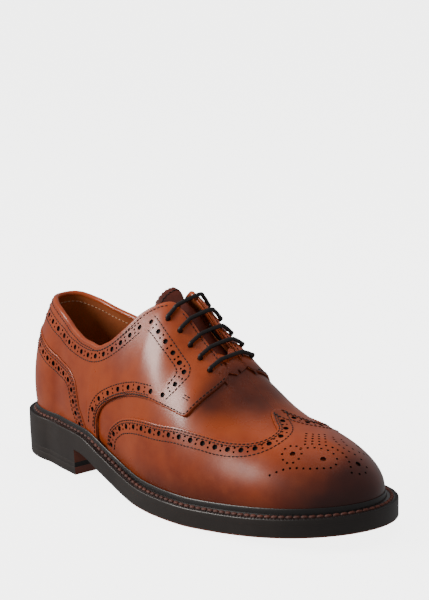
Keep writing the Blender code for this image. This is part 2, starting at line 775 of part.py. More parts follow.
def make_lace(finish):
    """Lace: one round cord along its route, with flat ends."""
    curve = bpy.data.curves.new("lace", "CURVE")
    curve.dimensions = "3D"
    curve.bevel_depth = LACE_DIAMETER / 2
    curve.bevel_resolution = 2
    curve.use_fill_caps = True
    route = lace_route()
    line = curve.splines.new("POLY")
    line.points.add(len(route) - 1)
    for point, place in zip(line.points, route):
        point.co = (*place, 1.0)
    curve.materials.append(finish)
    piece = bpy.data.objects.new("lace", curve)
    bpy.context.scene.collection.objects.link(piece)
    return piece


def make_counter(finish):
    """Heel counter: an overlay round the back of the heel."""
    columns = [a for a in grid_stations() if a < 0.34]
    wrap = [-a for a in columns[::-1]] + columns[1:]
    slab = pattern_slab("counter", wrap, grid_rows())
    outer = [(-a, row_of(-1, a, u)) for a, u in COUNTER_EDGE]
    inner = [(a, row_of(1, a, u)) for a, u in COUNTER_EDGE]
    work = cut_pattern("counter", slab, outer + inner[::-1][1:])
    return lasted("counter", work, at_heel, overlay_lifts, lambda x, y: False, finish)


def main():
    """Clears the scene and builds every piece."""
    for old in list(bpy.data.objects):
        bpy.data.objects.remove(old)
    finishes = {
        "calf": material("tan_calf", (0.40, 0.11, 0.035), 0.28, 0.4),
        "edge": material("burnished_edge", (0.035, 0.020, 0.016), 0.35),
        "lining": material("tan_lining", (0.42, 0.20, 0.09), 0.60),
        "heel": material("stacked_heel", (0.12, 0.04, 0.028), 0.45),
        "band": material("rubber_band", (0.015, 0.013, 0.013), 0.60),
        "heel_base": material("heel_base", (0.16, 0.035, 0.022), 0.45),
        "lace": material("waxed_lace", (0.030, 0.018, 0.015), 0.55),
    }
    sole_and_heel(finishes)
    upper = make_upper(finishes["calf"])
    make_wing_cap(finishes["calf"])
    outer = make_quarter("quarter_outer", -1, finishes["calf"])
    inner = make_quarter("quarter_inner", 1, finishes["calf"])
    make_counter(finishes["calf"])
    make_tongue(finishes["calf"])
    punch_eyelets([upper, outer, inner], eyelet_punch())
    make_lace(finishes["lace"])


main()
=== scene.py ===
"""Brogue shoe, dressed: a full-brogue derby in polished tan calf on a storm-welted sole.

Every leather piece is a function of two parameters over the same last as the CAD part. A place on
the last is (a, w): a runs from 0 at the heel to 1 at the toe, and w from 0 at the feather line on
the outer side over the crest at 1 to 2 at the feather line on the inner side. Values of a below 0
run on round the heel to the inner side. Metres, toe along +X, outer side towards -Y.
"""

import bmesh
import bpy
import numpy as np
from mathutils import Matrix
from mathutils.kdtree import KDTree


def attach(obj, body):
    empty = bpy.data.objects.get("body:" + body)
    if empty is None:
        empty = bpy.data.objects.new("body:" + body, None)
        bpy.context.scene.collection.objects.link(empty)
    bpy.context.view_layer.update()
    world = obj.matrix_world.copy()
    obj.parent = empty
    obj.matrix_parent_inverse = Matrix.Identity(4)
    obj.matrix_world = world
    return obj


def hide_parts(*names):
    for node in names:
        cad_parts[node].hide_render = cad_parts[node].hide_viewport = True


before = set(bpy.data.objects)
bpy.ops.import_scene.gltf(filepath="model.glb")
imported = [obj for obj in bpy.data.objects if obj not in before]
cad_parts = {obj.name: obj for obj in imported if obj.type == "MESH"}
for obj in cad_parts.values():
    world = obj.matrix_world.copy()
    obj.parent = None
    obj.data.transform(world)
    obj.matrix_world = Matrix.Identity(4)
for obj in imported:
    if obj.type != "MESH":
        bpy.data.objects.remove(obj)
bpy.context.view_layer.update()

# Sizes of the last and of the pieces, as in the CAD part
SOLE_LENGTH = 0.302
BALL_WIDTH = 0.107
INSTEP_HEIGHT = 0.119
HEEL_HEIGHT = 0.0165
TOE_SPRING = 0.0092
OUTSOLE_THICKNESS = 0.0076
WELT_THICKNESS = 0.0036
STORM_RIDGE = 0.0038
RIDGE_WIDTH = 0.0011
RIM_FROM = 0.0
RIDGE_FOOT = 0.0006
WELT_AT_TOE = 0.0100
WELT_AT_HEEL = 0.0075
HEEL_TAPER = 0.0006
LAYER_GAP = 0.00003
TOP_PIECE = 0.0050
HEEL_BAND = 0.0030
INSOLE_THICKNESS = 0.0030
UPPER_WALL = 0.0018
OVERLAY = 0.0012
OVERLAY_GAP = 0.0004
TONGUE_WALL = 0.0020
TONGUE_DROP = 0.0042
TONGUE_FLARE = 0.0055
TONGUE_HALF = 0.38
TONGUE_FLARE_HALF = 0.37
TONGUE_TOOTH = 0.0026
TONGUE_TEETH = 17
TONGUE_CORNER = 0.008
TONGUE_FREE = 0.46
TONGUE_SEWN = 0.61
LACE_DIAMETER = 0.0028
EYELET_HOLE = 0.0036
EYELET_TO_EDGE = 0.0102
GAP = 0.0003
HEEL_ROUND = 0.13
TOE_ROUND = 0.75
BREAST = 0.255
FLAT_END = 0.66
SPINE_END = 0.885
ALONG_HEEL = 0.165
ALONG_TOE = 0.705
THROAT_CLOSED = 0.636
INNER_TAB_RISE = 0.11
NEAR_CREST = 0.985
RIDGE_UP = 0.024
TOP = OVERLAY_GAP + OVERLAY

# Threads, holes and edges of the dressed shoe
STITCH_PITCH = 0.0026
STITCH_LENGTH = 0.0018
STITCH_RADIUS = 0.00036
STITCH_LIFT = TOP + 0.0001
BIG_HOLE = 0.00165
SMALL_HOLE = 0.00068
MEDALLION_HOLES = (0.0017, 0.00075)
PAIR_HALF = 0.0013
BAR_TACK_GAP = 0.0017
COUNTER_PROUD = 0.0004
CUT_ROUND = 0.0006
EDGE_HEIGHT = 0.55
WELT_STITCH_INSET = 0.0038
WELT_STITCH_PITCH = 0.0045
WELT_STITCH_LENGTH = 0.0032
WELT_STITCH_RADIUS = 0.00125
WELT_STITCH_HALF = 0.0021
WHEEL_TOOTH = 0.00028
TONGUE_STITCH_PITCH = 0.0021
TONGUE_STITCH_LENGTH = 0.0015
LINING_PITCH = 0.0030
LINING_LENGTH = 0.0020
COLLAR_ROLL = 0.00178

# Places on the quarters and the throat, as `along` and `up` on the last
THROAT_SHUTS = 0.590
THROAT_SHUT_OVER = 0.012
QUARTER_REAR = 0.0002
QUARTER_FRONT = 0.614
QUARTER_TOP = 0.996
TAB_TOP = 0.985
QUARTER_RUN = 0.24

# Camera, from the fit of the outlines: degrees, metres, and pixels in the photograph
CAMERA_AZIMUTH = 48.7
CAMERA_ELEVATION = 12.593
CAMERA_ROLL = -0.688
CAMERA_DISTANCE = 1.4102
CAMERA_FOCAL_PIXELS = 2320.7
PHOTO_HEIGHT_PIXELS = 600
SENSOR_WIDTH_MM = 36.0

OUTLINE = np.array([
    (0.00, 0.272, -0.006), (0.13, 0.274, -0.006), (0.20, 0.300, -0.016), (0.30, 0.322, -0.042),
    (0.40, 0.341, -0.075), (0.50, 0.387, -0.088), (0.60, 0.450, -0.057), (0.68, 0.490, -0.011),
    (0.75, 0.501, 0.026), (0.82, 0.501, 0.043), (0.88, 0.501, 0.046), (1.00, 0.501, 0.043),
])
RISE = np.array([
    (0.00, 1.00), (0.20, 1.00), (0.27, 0.97), (0.36, 0.60), (0.45, 0.21), (0.52, 0.04),
    (0.58, 0.00), (1.00, 0.00),
])
CREST = np.array([
    (0.13, 1.070, 0.025), (0.25, 1.050, 0.022), (0.36, 1.040, 0.028), (0.46, 1.018, 0.042),
    (0.50, 0.972, 0.045), (0.56, 0.845, 0.042), (0.62, 0.745, 0.036), (0.66, 0.660, 0.032),
    (0.72, 0.547, 0.032), (0.78, 0.482, 0.036), (0.84, 0.450, 0.042), (0.90, 0.428, 0.045),
])
RIB = np.array([
    (0.000, 1.45, 1.00, 0.032, 0.032), (0.165, 1.35, 1.00, 0.032, 0.032),
    (0.350, 1.00, 1.00, 0.028, 0.044), (0.500, 0.95, 1.00, 0.024, 0.056),
    (0.600, 0.92, 1.00, 0.024, 0.056), (0.705, 0.85, 1.00, 0.019, 0.032),
    (0.850, 0.90, 0.95, 0.015, 0.019), (1.000, 1.00, 0.92, 0.013, 0.013),
])
TOPLINE = np.array([
    (0.000, 0.515, 0.515), (0.060, 0.515, 0.523), (0.125, 0.490, 0.500), (0.175, 0.448, 0.475),
    (0.226, 0.414, 0.452), (0.268, 0.396, 0.438), (0.310, 0.396, 0.436), (0.344, 0.436, 0.468),
    (0.385, 0.544, 0.560), (0.414, 0.660, 0.665), (0.450, 0.778, 0.840), (0.468, 0.822, 0.945),
    (0.485, 0.840, 0.972), (0.540, 0.866, 0.976), (0.600, 0.872, 0.978), (0.622, 0.890, 0.982),
    (0.636, 1.000, 1.000),
])
WING_EDGE = [
    (0.368, -0.20), (0.370, 0.04), (0.380, 0.105), (0.399, 0.150), (0.427, 0.193), (0.478, 0.238),
    (0.522, 0.280), (0.597, 0.368), (0.651, 0.453), (0.701, 0.540), (0.734, 0.640), (0.748, 0.740),
    (0.746, 0.840), (0.722, 0.905), (0.702, 0.957), (0.696, 1.000),
]
QUARTER_EDGE = [
    (0.612, 0.860), (0.619, 0.825), (0.619, 0.720), (0.613, 0.609), (0.604, 0.502), (0.597, 0.440),
    (0.588, 0.418), (0.567, 0.404), (0.538, 0.382), (0.502, 0.346), (0.461, 0.308), (0.410, 0.265),
    (0.377, 0.219), (0.350, 0.166), (0.337, 0.119), (0.331, 0.070), (0.328, 0.00), (0.326, -0.20),
]
COUNTER_EDGE = [
    (0.296, -0.20), (0.290, 0.00), (0.281, 0.062), (0.270, 0.100), (0.262, 0.158), (0.253, 0.203),
    (0.228, 0.246), (0.186, 0.266), (0.149, 0.286), (0.118, 0.310), (0.060, 0.352), (0.000, 0.372),
]
EYELETS = (0.478, 0.508, 0.536, 0.565, 0.592)
TONGUE_TOP = 0.420
TONGUE_END = 0.672

# Middle lines of the hole bands on the outer quarter: along, up
COLLAR_BAND = [
    (0.000, 0.440), (0.060, 0.440), (0.110, 0.424), (0.147, 0.398), (0.193, 0.366), (0.232, 0.350),
    (0.270, 0.342), (0.305, 0.348), (0.340, 0.384), (0.375, 0.450), (0.405, 0.530), (0.428, 0.600),
]
FACING_HOLES = [
    (0.447, 0.641), (0.473, 0.625), (0.496, 0.621), (0.518, 0.621), (0.538, 0.622), (0.555, 0.609),
    (0.550, 0.521), (0.532, 0.426),
]
FACING_FRONT = [
    (0.446, 0.680), (0.489, 0.659), (0.526, 0.663), (0.550, 0.665), (0.561, 0.655), (0.567, 0.620),
    (0.566, 0.590), (0.556, 0.500), (0.539, 0.405),
]
FACING_REAR = [
    (0.446, 0.596), (0.488, 0.581), (0.519, 0.585), (0.534, 0.586), (0.541, 0.576), (0.542, 0.545),
    (0.532, 0.459),
]
LOWER_BAND = [
    (0.504, 0.386), (0.473, 0.353), (0.440, 0.325), (0.406, 0.290), (0.375, 0.249), (0.345, 0.200),
    (0.323, 0.139), (0.315, 0.085), (0.312, 0.050),
]
BAR_TACK = [(0.574, 0.499), (0.596, 0.518)]

# Medallion in plan, mm from the sole's middle: large holes, then lines of small ones with their
# number, and rings with middle, radius and number
MEDALLION_LARGE = [(104.4, -18.6), (120.2, -9.7), (131.4, 7.1), (113.0, 25.7), (97.5, 31.0)]
MEDALLION_LINES = [
    (18, [(105.4, -13.0), (111.1, -7.2), (117.8, -3.0), (124.4, -3.0), (127.2, -9.0), (119.3, -18.2),
          (109.1, -25.1), (100.3, -32.7)]),
    (5, [(97.1, -0.7), (104.7, -9.1)]),
    (5, [(99.7, 2.0), (107.5, -6.1)]),
    (5, [(101.7, 4.8), (110.6, -3.4)]),
    (5, [(102.9, 8.3), (113.7, -1.1)]),
    (7, [(107.1, 10.9), (110.2, 8.9), (116.5, 7.0), (122.4, 8.6), (125.0, 10.8)]),
    (11, [(109.6, 15.3), (116.4, 12.6), (121.6, 16.2), (122.0, 21.5), (119.0, 28.0), (110.5, 35.0)]),
    (7, [(117.0, 0.9), (123.3, 3.0), (129.4, 2.0), (134.6, -1.2)]),
    (4, [(136.4, 3.2), (136.2, 8.4), (132.8, 12.4), (128.4, 12.6)]),
]
MEDALLION_RINGS = [((104.0, -18.8), 5.6, 10), ((97.6, 31.0), 5.6, 10)]


def smooth(x, table, column=1):
    """Monotone cubic through one column of a table: no overshoot between its rows."""
    xs = table[:, 0]
    ys = table[:, column]
    step = np.diff(xs)
    slope = np.diff(ys) / step
    before_it = 2 * step[1:] + step[:-1]
    after_it = step[1:] + 2 * step[:-1]
    turn = slope[:-1] * slope[1:] <= 0
    left = np.where(turn, 1.0, slope[:-1])
    right = np.where(turn, 1.0, slope[1:])
    inner = np.where(turn, 0.0, (before_it + after_it) / (before_it / left + after_it / right))
    tangent = np.concatenate([slope[:1], inner, slope[-1:]])
    x = np.clip(x, xs[0], xs[-1])
    i = np.clip(np.searchsorted(xs, x, "right") - 1, 0, len(xs) - 2)
    t = (x - xs[i]) / step[i]
    rise = (1 + 2 * t) * (1 - t) ** 2 * ys[i] + t * t * (3 - 2 * t) * ys[i + 1]
    bend = t * (1 - t) ** 2 * tangent[i] + t * t * (t - 1) * tangent[i + 1]
    return rise + bend * step[i]


def sole_bottom(share):
    """Height of the sole's underside: the shank's drop from the heel, flat, then the toe spring."""
    spring = np.clip((share - FLAT_END) / (1 - FLAT_END), 0, None) ** 1.41
    return HEEL_HEIGHT * smooth(share, RISE) + TOE_SPRING * spring


def welt_top(share):
    """Height of the welt's flat top, which is the feather line."""
    return sole_bottom(share) + OUTSOLE_THICKNESS + WELT_THICKNESS


def station(along):
    """Share of the length and the closing of the outline: quarter ellipses at heel and toe."""
    along = np.asarray(along, float)
    heel = np.pi / 2 * np.clip(along / ALONG_HEEL, 0, 1)
    toe = np.pi / 2 * np.clip((1 - along) / (1 - ALONG_TOE), 0, 1)
    middle = HEEL_ROUND + (TOE_ROUND - HEEL_ROUND) * (along - ALONG_HEEL) / (ALONG_TOE - ALONG_HEEL)
    share = np.where(along < ALONG_HEEL, HEEL_ROUND * (1 - np.cos(heel)), middle)
    share = np.where(along > ALONG_TOE, 1 - (1 - TOE_ROUND) * (1 - np.cos(toe)), share)
    closing = np.where(along < ALONG_HEEL, np.sin(heel), np.where(along > ALONG_TOE, np.sin(toe), 1.0))
    return share, closing


def edges_of_sole():
    """Widest points of the sole outline on the outer and the inner side, before centring."""
    share = np.linspace(0, 1, 201)
    half = smooth(share, OUTLINE, 1)
    middle = smooth(share, OUTLINE, 2)
    body = (share > HEEL_ROUND) & (share < TOE_ROUND + 0.02)
    return BALL_WIDTH * (middle - half)[body].min(), BALL_WIDTH * (middle + half)[body].max()


MIDDLE_Y = sum(edges_of_sole()) / 2


def outline(side, along, inset_heel=0.0, inset_toe=0.0):
    """Plan of the sole, drawn in by two insets that blend through the waist."""
    share, closing = station(along)
    inset = inset_heel + (inset_toe - inset_heel) * np.clip((share - 0.3) / 0.25, 0, 1)
    half = BALL_WIDTH * smooth(share, OUTLINE, 1) - inset
    x = inset_heel + share * (SOLE_LENGTH - inset_heel - inset_toe) - SOLE_LENGTH / 2
    y = BALL_WIDTH * smooth(share, OUTLINE, 2) + side * half * closing - MIDDLE_Y
    return x, y, share


def spine(along):
    """Point of the crest that a rib runs to: ribs fan out at the heel and round the toe."""
    slope = (TOE_ROUND - HEEL_ROUND) / (ALONG_TOE - ALONG_HEEL)
    reach = SPINE_END - TOE_ROUND
    share = HEEL_ROUND + slope * (along - ALONG_HEEL)
    fan = TOE_ROUND + reach * (1 - np.exp(-slope / reach * np.clip(along - ALONG_TOE, 0, None)))
    share = np.where(along > ALONG_TOE, fan, share)
    share = np.where(along < 2 * ALONG_HEEL, HEEL_ROUND + slope * along ** 2 / (4 * ALONG_HEEL), share)
    x = WELT_AT_HEEL + share * (SOLE_LENGTH - WELT_AT_HEEL - WELT_AT_TOE) - SOLE_LENGTH / 2
    return x, BALL_WIDTH * smooth(share, CREST, 2) - MIDDLE_Y, INSTEP_HEIGHT * smooth(share, CREST, 1)


def slope_of_crest(along):
    """Rise of the crest per metre of its run, where the rib along it ends."""
    step = 1e-3
    ahead = spine(np.clip(along + step, 0, 1))
    behind = spine(np.clip(along - step, 0, 1))
    return (ahead[2] - behind[2]) / np.maximum(ahead[0] - behind[0], 1e-9)


def rib(side, along, up):
    """Point on the last: from its base to the crest by powers of cosine and sine, with a bulge.

    The inward way is 1 - cos^p, the rise is sin^m, the bulge is a sine of the rise, and round the
    toe a lean makes each rib meet the crest at the crest's own slope.
    """
    x, y, share = outline(side, along, WELT_AT_HEEL, WELT_AT_TOE)
    base = welt_top(share)
    crest_x, crest_y, crest_z = spine(along)
    crest_slope = slope_of_crest(along)
    step = 1e-3
    ahead = outline(side, np.clip(along + step, 0, 1), WELT_AT_HEEL, WELT_AT_TOE)
    behind = outline(side, np.clip(along - step, 0, 1), WELT_AT_HEEL, WELT_AT_TOE)
    run_x = np.where((along <= 0) | (along >= 1), 0.0, ahead[0] - behind[0])
    run_y = ahead[1] - behind[1]
    run = np.hypot(run_x, run_y)
    out_x = -side * run_y / run
    out_y = side * run_x / run
    bulge = BALL_WIDTH * np.where(side < 0, smooth(along, RIB, 3), smooth(along, RIB, 4))
    angle = np.pi / 2 * np.clip(up, 0, 1)
    inward = 1 - np.abs(np.cos(angle)) ** smooth(along, RIB, 1)
    rise = np.abs(np.sin(angle)) ** smooth(along, RIB, 2)
    swell = bulge * np.sin(np.pi * rise ** 0.75)
    lean = crest_slope * (x - crest_x) * (1 - inward) * rise
    drop = WELT_THICKNESS - GAP
    return np.stack([
        x + (crest_x - x) * inward + swell * out_x,
        y + (crest_y - y) * inward + swell * out_y,
        base + (crest_z - base) * rise + lean + drop * np.clip(up, None, 0) / 0.1,
    ], -1)


def normal(side, along, up):
    """Outward normal of the last, by differences; on the crest the mean of both sides."""
    step = 2e-3
    up = np.clip(up, 0, NEAR_CREST)
    higher = rib(side, along, np.clip(up + step, 0, 1))
    lower = rib(side, along, np.clip(up - step, 0, 1))
    ahead = rib(side, np.clip(along + step, 0, 1), up)
    behind = rib(side, np.clip(along - step, 0, 1), up)
    across = np.cross(higher - lower, ahead - behind) * np.asarray(side)[..., None]
    return across / np.linalg.norm(across, axis=-1, keepdims=True)


def skin(side, along, up, lift=0.0):
    """Point at a height `lift` over the last; at up below 0 the wall drops inside the welt."""
    given = [np.asarray(v, float) for v in (side, along, up, lift)]
    side, along, up, lift = np.broadcast_arrays(*given)
    direction = normal(side, along, up)
    other = normal(-side, along, up)
    joined = (up > 0.9995) | (along < 1e-6) | (along > 1 - 1e-6)
    direction = np.where(joined[..., None], direction + other, direction)
    flat = np.clip(up / 0.04, 0, 1)[..., None]
    direction = direction * np.concatenate([np.ones_like(flat), np.ones_like(flat), flat], -1)
    direction /= np.linalg.norm(direction, axis=-1, keepdims=True)
    return rib(side, along, up) + direction * lift[..., None]


def top_edge(side, along):
    """`up` of the upper's top edge: collar, then throat, then the crest where it is closed."""
    return np.where(np.asarray(side) < 0, smooth(along, TOPLINE, 1), smooth(along, TOPLINE, 2))


def last(a, w, lift=0.0):
    """Point over the last at a place whose values may run over the crest or round the heel."""
    a, w = np.broadcast_arrays(np.asarray(a, float), np.asarray(w, float))
    side = np.where(w > 1, 1.0, -1.0) * np.where(a < 0, -1.0, 1.0)
    return skin(side, np.clip(np.abs(a), 0, 1), np.where(w > 1, 2 - w, w), lift)


def fair(points, steps=12):
    """More points on a smooth curve through a line's own points (Catmull-Rom)."""
    p = np.array(points)
    p = np.concatenate([2 * p[:1] - p[1:2], p, 2 * p[-1:] - p[-2:-1]])
    t = np.linspace(0, 1, steps, endpoint=False)[:, None]
    runs = []
    for a, b, c, d in zip(p, p[1:], p[2:], p[3:]):
        runs.append(0.5 * (2 * b + (c - a) * t + (2 * a - 5 * b + 4 * c - d) * t ** 2
                           + (3 * b - 3 * c + d - a) * t ** 3))
    return np.concatenate(runs + [p[-2:-1]])


def unit(vectors):
    """Vectors of length 1."""
    return vectors / np.linalg.norm(vectors, axis=-1, keepdims=True)


def run_of(points):
    """Distance run along a line of points."""
    step = np.linalg.norm(np.diff(points, axis=0), axis=-1)
    return np.concatenate([[0.0], np.cumsum(step)])


def at_runs(curve, runs):
    """Places at these distances along a curve of places."""
    run = run_of(last(curve[:, 0], curve[:, 1]))
    return np.stack([np.interp(runs, run, curve[:, 0]), np.interp(runs, run, curve[:, 1])], 1)


def length_of(curve):
    """Length of a curve of places on the last."""
    return run_of(last(curve[:, 0], curve[:, 1]))[-1]


def frame_at(a, w):
    """Both derivatives of the last and its outward normal at places."""
    step = 1e-3
    by_a = (last(a + step, w) - last(a - step, w)) / (2 * step)
    by_w = (last(a, w + step) - last(a, w - step)) / (2 * step)
    return by_a, by_w, unit(np.cross(by_a, by_w))


def inset(curve, distance):
    """Curve moved over the last, at right angles to its way and to the left of it, in short steps."""
    curve = np.array(curve, float)
    steps = int(np.ceil(abs(distance) / 0.001)) or 1
    for _ in range(steps):
        by_a, by_w, out = frame_at(curve[:, 0], curve[:, 1])
        way = unit(np.gradient(last(curve[:, 0], curve[:, 1]), axis=0))
        across = np.cross(out, way)
        aa = (by_a * by_a).sum(1)
        aw = (by_a * by_w).sum(1)
        ww = (by_w * by_w).sum(1)
        pa = (by_a * across).sum(1)
        pw = (by_w * across).sum(1)
        step = np.stack([ww * pa - aw * pw, aa * pw - aw * pa], 1) / (aa * ww - aw * aw)[:, None]
        curve = curve + distance / steps * step
    return curve


def mirrored(curve):
    """The same line on the inner side: up follows that side's own top edge."""
    a, w = np.array(curve, float).T
    share = top_edge(1, np.clip(a, 0, THROAT_CLOSED)) / top_edge(-1, np.clip(a, 0, THROAT_CLOSED))
    return np.stack([a, 2 - w * np.where(w > 0.3, share, 1 + (share - 1) * np.clip(w / 0.3, 0, 1))], 1)


def quads(rows, columns, start=0):
    """Faces of a grid of points that are stored row by row."""
    corner = start + np.arange(rows - 1)[:, None] * columns + np.arange(columns - 1)[None, :]
    return np.stack([corner, corner + 1, corner + columns + 1, corner + columns], -1).reshape(-1, 4)


def new_piece(name, points, faces, finishes, nodes=(), indices=None, weld=False, sharp=50):
    """Object that rides on the shoe, with its materials and the CAD nodes it stands for."""
    mesh = bpy.data.meshes.new(name)
    mesh.from_pydata(points.tolist(), [], [list(f) for f in faces])
    if indices is not None:
        mesh.polygons.foreach_set("material_index", indices)
    work = bmesh.new()
    work.from_mesh(mesh)
    if weld:
        bmesh.ops.remove_doubles(work, verts=work.verts, dist=3e-6)
    bmesh.ops.recalc_face_normals(work, faces=work.faces)
    if work.calc_volume(signed=True) < 0:
        bmesh.ops.reverse_faces(work, faces=work.faces)
    work.to_mesh(mesh)
    work.free()
    for finish in finishes:
        mesh.materials.append(finish)
    mesh.shade_smooth()
    mesh.set_sharp_from_angle(angle=np.radians(sharp))
    piece = bpy.data.objects.new(name, mesh)
    bpy.context.scene.collection.objects.link(piece)
    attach(piece, "root")
    if nodes:
        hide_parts(*nodes)
    return piece


def rounded(distance, radius):
    """Share of full height beside an edge that is rounded off by a radius."""
    return np.sqrt(1 - (1 - np.clip(distance / radius, 0, 1)) ** 2)


def edge_share(distance):
    """Share of an overlay's thickness: part of it at the cut edge, then a quarter round to full."""
    return EDGE_HEIGHT + (1 - EDGE_HEIGHT) * rounded(distance, CUT_ROUND)


NEAR = np.array([0, 0.04, 0.12, 0.25, 0.45, 0.8, 1.3, 2.0, 3.0, 4.3, 5.8]) * 1e-3


def spread(length, count, first, end):
    """Shares of the way, evenly spaced but close together beside a free edge."""
    head = NEAR[:, None] / length if first else np.zeros((1, len(length)))
    tail = 1 - NEAR[::-1, None] / length if end else np.ones((1, len(length)))
    even = np.linspace(0, 1, count + 2)[1:-1, None]
    return np.concatenate([head, head[-1] + (tail[0] - head[-1]) * even, tail])


def strip(low, high, count, first=True, end=True):
    """Grid of places from one curve to another, and each place's distance from both edges."""
    probe = np.linspace(0, 1, 33)[:, None, None]
    line = low + (high - low) * probe
    points = last(line[..., 0], line[..., 1])
    length = np.linalg.norm(np.diff(points, axis=0), axis=-1).sum(0)
    slant = []
    for edge, start in ((points[0], points[1] - points[0]), (points[-1], points[-2] - points[-1])):
        way = unit(np.gradient(edge, axis=0))
        slant.append(np.clip(np.linalg.norm(np.cross(way, unit(start)), axis=-1), 0.25, 1))
    share = spread(length, count, first, end)
    if first:
        share[:len(NEAR)] = NEAR[:, None] / length / slant[0]
    if end:
        share[-len(NEAR):] = 1 - NEAR[::-1, None] / length / slant[1]
    inner = slice(len(NEAR) if first else 1, -len(NEAR) if end else -1)
    begin = share[inner.start - 1]
    finish = share[inner.stop]
    share[inner] = begin + (finish - begin) * np.linspace(0, 1, count + 2)[1:-1, None]
    grid = low + (high - low) * share[..., None]
    return grid[..., 0], grid[..., 1], share * length * slant[0], (1 - share) * length * slant[1]


def leather(name, a, w, low, high, finishes, nodes, rims="btlr", lined=False, weld=False):
    """Closed leather shell over a grid of places, between a lower and an upper lift."""
    rows, columns = a.shape
    count = rows * columns
    points = np.concatenate([last(a, w, high).reshape(-1, 3), last(a, w, low).reshape(-1, 3)])
    grid = np.arange(count).reshape(rows, columns)
    faces = [quads(rows, columns), quads(rows, columns, count)[:, ::-1]]
    index = [np.zeros(len(faces[0]), int), np.full(len(faces[1]), int(lined))]
    for key, line in (("b", grid[0]), ("t", grid[-1]), ("l", grid[:, 0]), ("r", grid[:, -1])):
        if key in rims:
            faces.append(np.stack([line[:-1], line[1:], line[1:] + count, line[:-1] + count], 1))
            # Rims take the third finish where there is one: the lighter cut edge, partly a painted
            # highlight
            index.append(np.full(len(faces[-1]), 2 if len(finishes) > 2 else 0))
    return new_piece(name, points, np.concatenate(faces), finishes, nodes,
                     np.concatenate(index), weld)


def rods(name, middles, axes, radii, halves, sides, rings, finishes, slot=None):
    """Many short solids in one mesh: cylinders where rings is 0, else pointed ovals of thread."""
    turn = np.linspace(0, 2 * np.pi, sides, endpoint=False)
    axes = unit(axes)
    level = unit(np.cross(axes, np.where(np.abs(axes[:, 2:]) > 0.9, (1.0, 0, 0), (0, 0, 1.0))))
    rise = np.cross(axes, level)
    circle = np.cos(turn)[None, :, None] * level[:, None] + np.sin(turn)[None, :, None] * rise[:, None]
    if rings:
        angles = np.linspace(0.25, np.pi - 0.25, rings)
        profile = [(-np.cos(t), np.sin(t) ** 0.6) for t in angles]
    else:
        profile = [(-1.0, 1.0), (1.0, 1.0)]
    parts = []
    for place, width in profile:
        centre = middles + axes * (halves * place)[:, None]
        parts.append(centre[:, None] + circle * (radii * width)[:, None, None])
    points = np.stack(parts, 1).reshape(-1, 3)
    number = len(profile)
    faces = []
    for k in range(len(middles)):
        start = k * number * sides
        for level_at in range(number - 1):
            for i in range(sides):
                j = (i + 1) % sides
                b = start + level_at * sides
                faces.append((b + i, b + j, b + sides + j, b + sides + i))
        faces.append(tuple(range(start, start + sides))[::-1])
        faces.append(tuple(range(start + (number - 1) * sides, start + number * sides)))
    if slot:
        return new_piece(name, points, faces, finishes, sharp=80)
    mesh = bpy.data.meshes.new(name)
    mesh.from_pydata(points.tolist(), [], faces)
    for finish in finishes:
        mesh.materials.append(finish)
    return bpy.data.objects.new(name, mesh)


def holes_on(places, radius, lift=TOP):
    """Holes square to the leather at places: middle, axis and radius of each."""
    places = np.array(places)
    out = frame_at(places[:, 0], places[:, 1])[2]
    return last(places[:, 0], places[:, 1], lift), out, np.full(len(places), radius)


def punch(piece, holes):
    """Cuts holes through a piece, then gives its leather the smooth normals that it had before."""
    middles, axes, radii = (np.concatenate(part) for part in zip(*holes))
    halves = np.full(len(radii), 0.0042)
    knife = rods("punch", middles, axes, radii, halves, 14, 0, piece.data.materials)
    # The hole walls take the piece's second finish: painted hole shade on the cap, quarters and
    # counter, the lining on the upper
    knife.data.polygons.foreach_set("material_index", [1] * len(knife.data.polygons))
    bpy.context.scene.collection.objects.link(knife)
    cut = piece.modifiers.new("holes", "BOOLEAN")
    cut.operation = "DIFFERENCE"
    cut.solver = "MANIFOLD"
    cut.object = knife
    bpy.context.view_layer.update()
    evaluated = piece.evaluated_get(bpy.context.evaluated_depsgraph_get())
    mesh = bpy.data.meshes.new_from_object(evaluated)
    piece.modifiers.remove(cut)
    bpy.data.objects.remove(knife)
    old = piece.data
    tree = KDTree(len(old.vertices))
    for vertex in old.vertices:
        tree.insert(vertex.co, vertex.index)
    tree.balance()
    before_cut = np.empty(3 * len(old.vertices))
    old.vertex_normals.foreach_get("vector", before_cut)
    before_cut = before_cut.reshape(-1, 3)
    kept = np.empty((len(mesh.vertices), 3))
    for vertex in mesh.vertices:
        near = tree.find_n(vertex.co, 3)
        weight = np.array([1 / (found[2] + 1e-6) for found in near])
        kept[vertex.index] = weight @ before_cut[[found[1] for found in near]]
    kept = unit(kept)
    corner = np.empty(len(mesh.loops), int)
    mesh.loops.foreach_get("vertex_index", corner)
    total = np.empty(len(mesh.polygons), int)
    mesh.polygons.foreach_get("loop_total", total)
    flat = np.empty(3 * len(mesh.polygons))
    mesh.polygons.foreach_get("normal", flat)
    flat = np.repeat(flat.reshape(-1, 3), total, axis=0)
    chosen = kept[corner]
    chosen = np.where(((chosen * flat).sum(1) > 0.55)[:, None], chosen, flat)
    mesh.shade_smooth()
    mesh.normals_split_custom_set(chosen.tolist())
    piece.data = mesh
    return piece


def stitch_rows(curve, offsets, pitch, length, lift, first=0.0, end=0.0):
    """Stitches at an even pitch along lines beside a curve: their middles and their ways."""
    middles = []
    ways = []
    for offset in offsets:
        line = inset(curve, offset) if offset else curve
        total = length_of(line)
        count = max(int((total - first - end) / pitch), 1)
        runs = first + (np.arange(count) + 0.5) * pitch
        heads = at_runs(line, runs - length / 2)
        tails = at_runs(line, runs + length / 2)
        start = last(heads[:, 0], heads[:, 1], lift)
        stop = last(tails[:, 0], tails[:, 1], lift)
        middles.append((start + stop) / 2)
        ways.append(stop - start)
    return np.concatenate(middles), np.concatenate(ways)


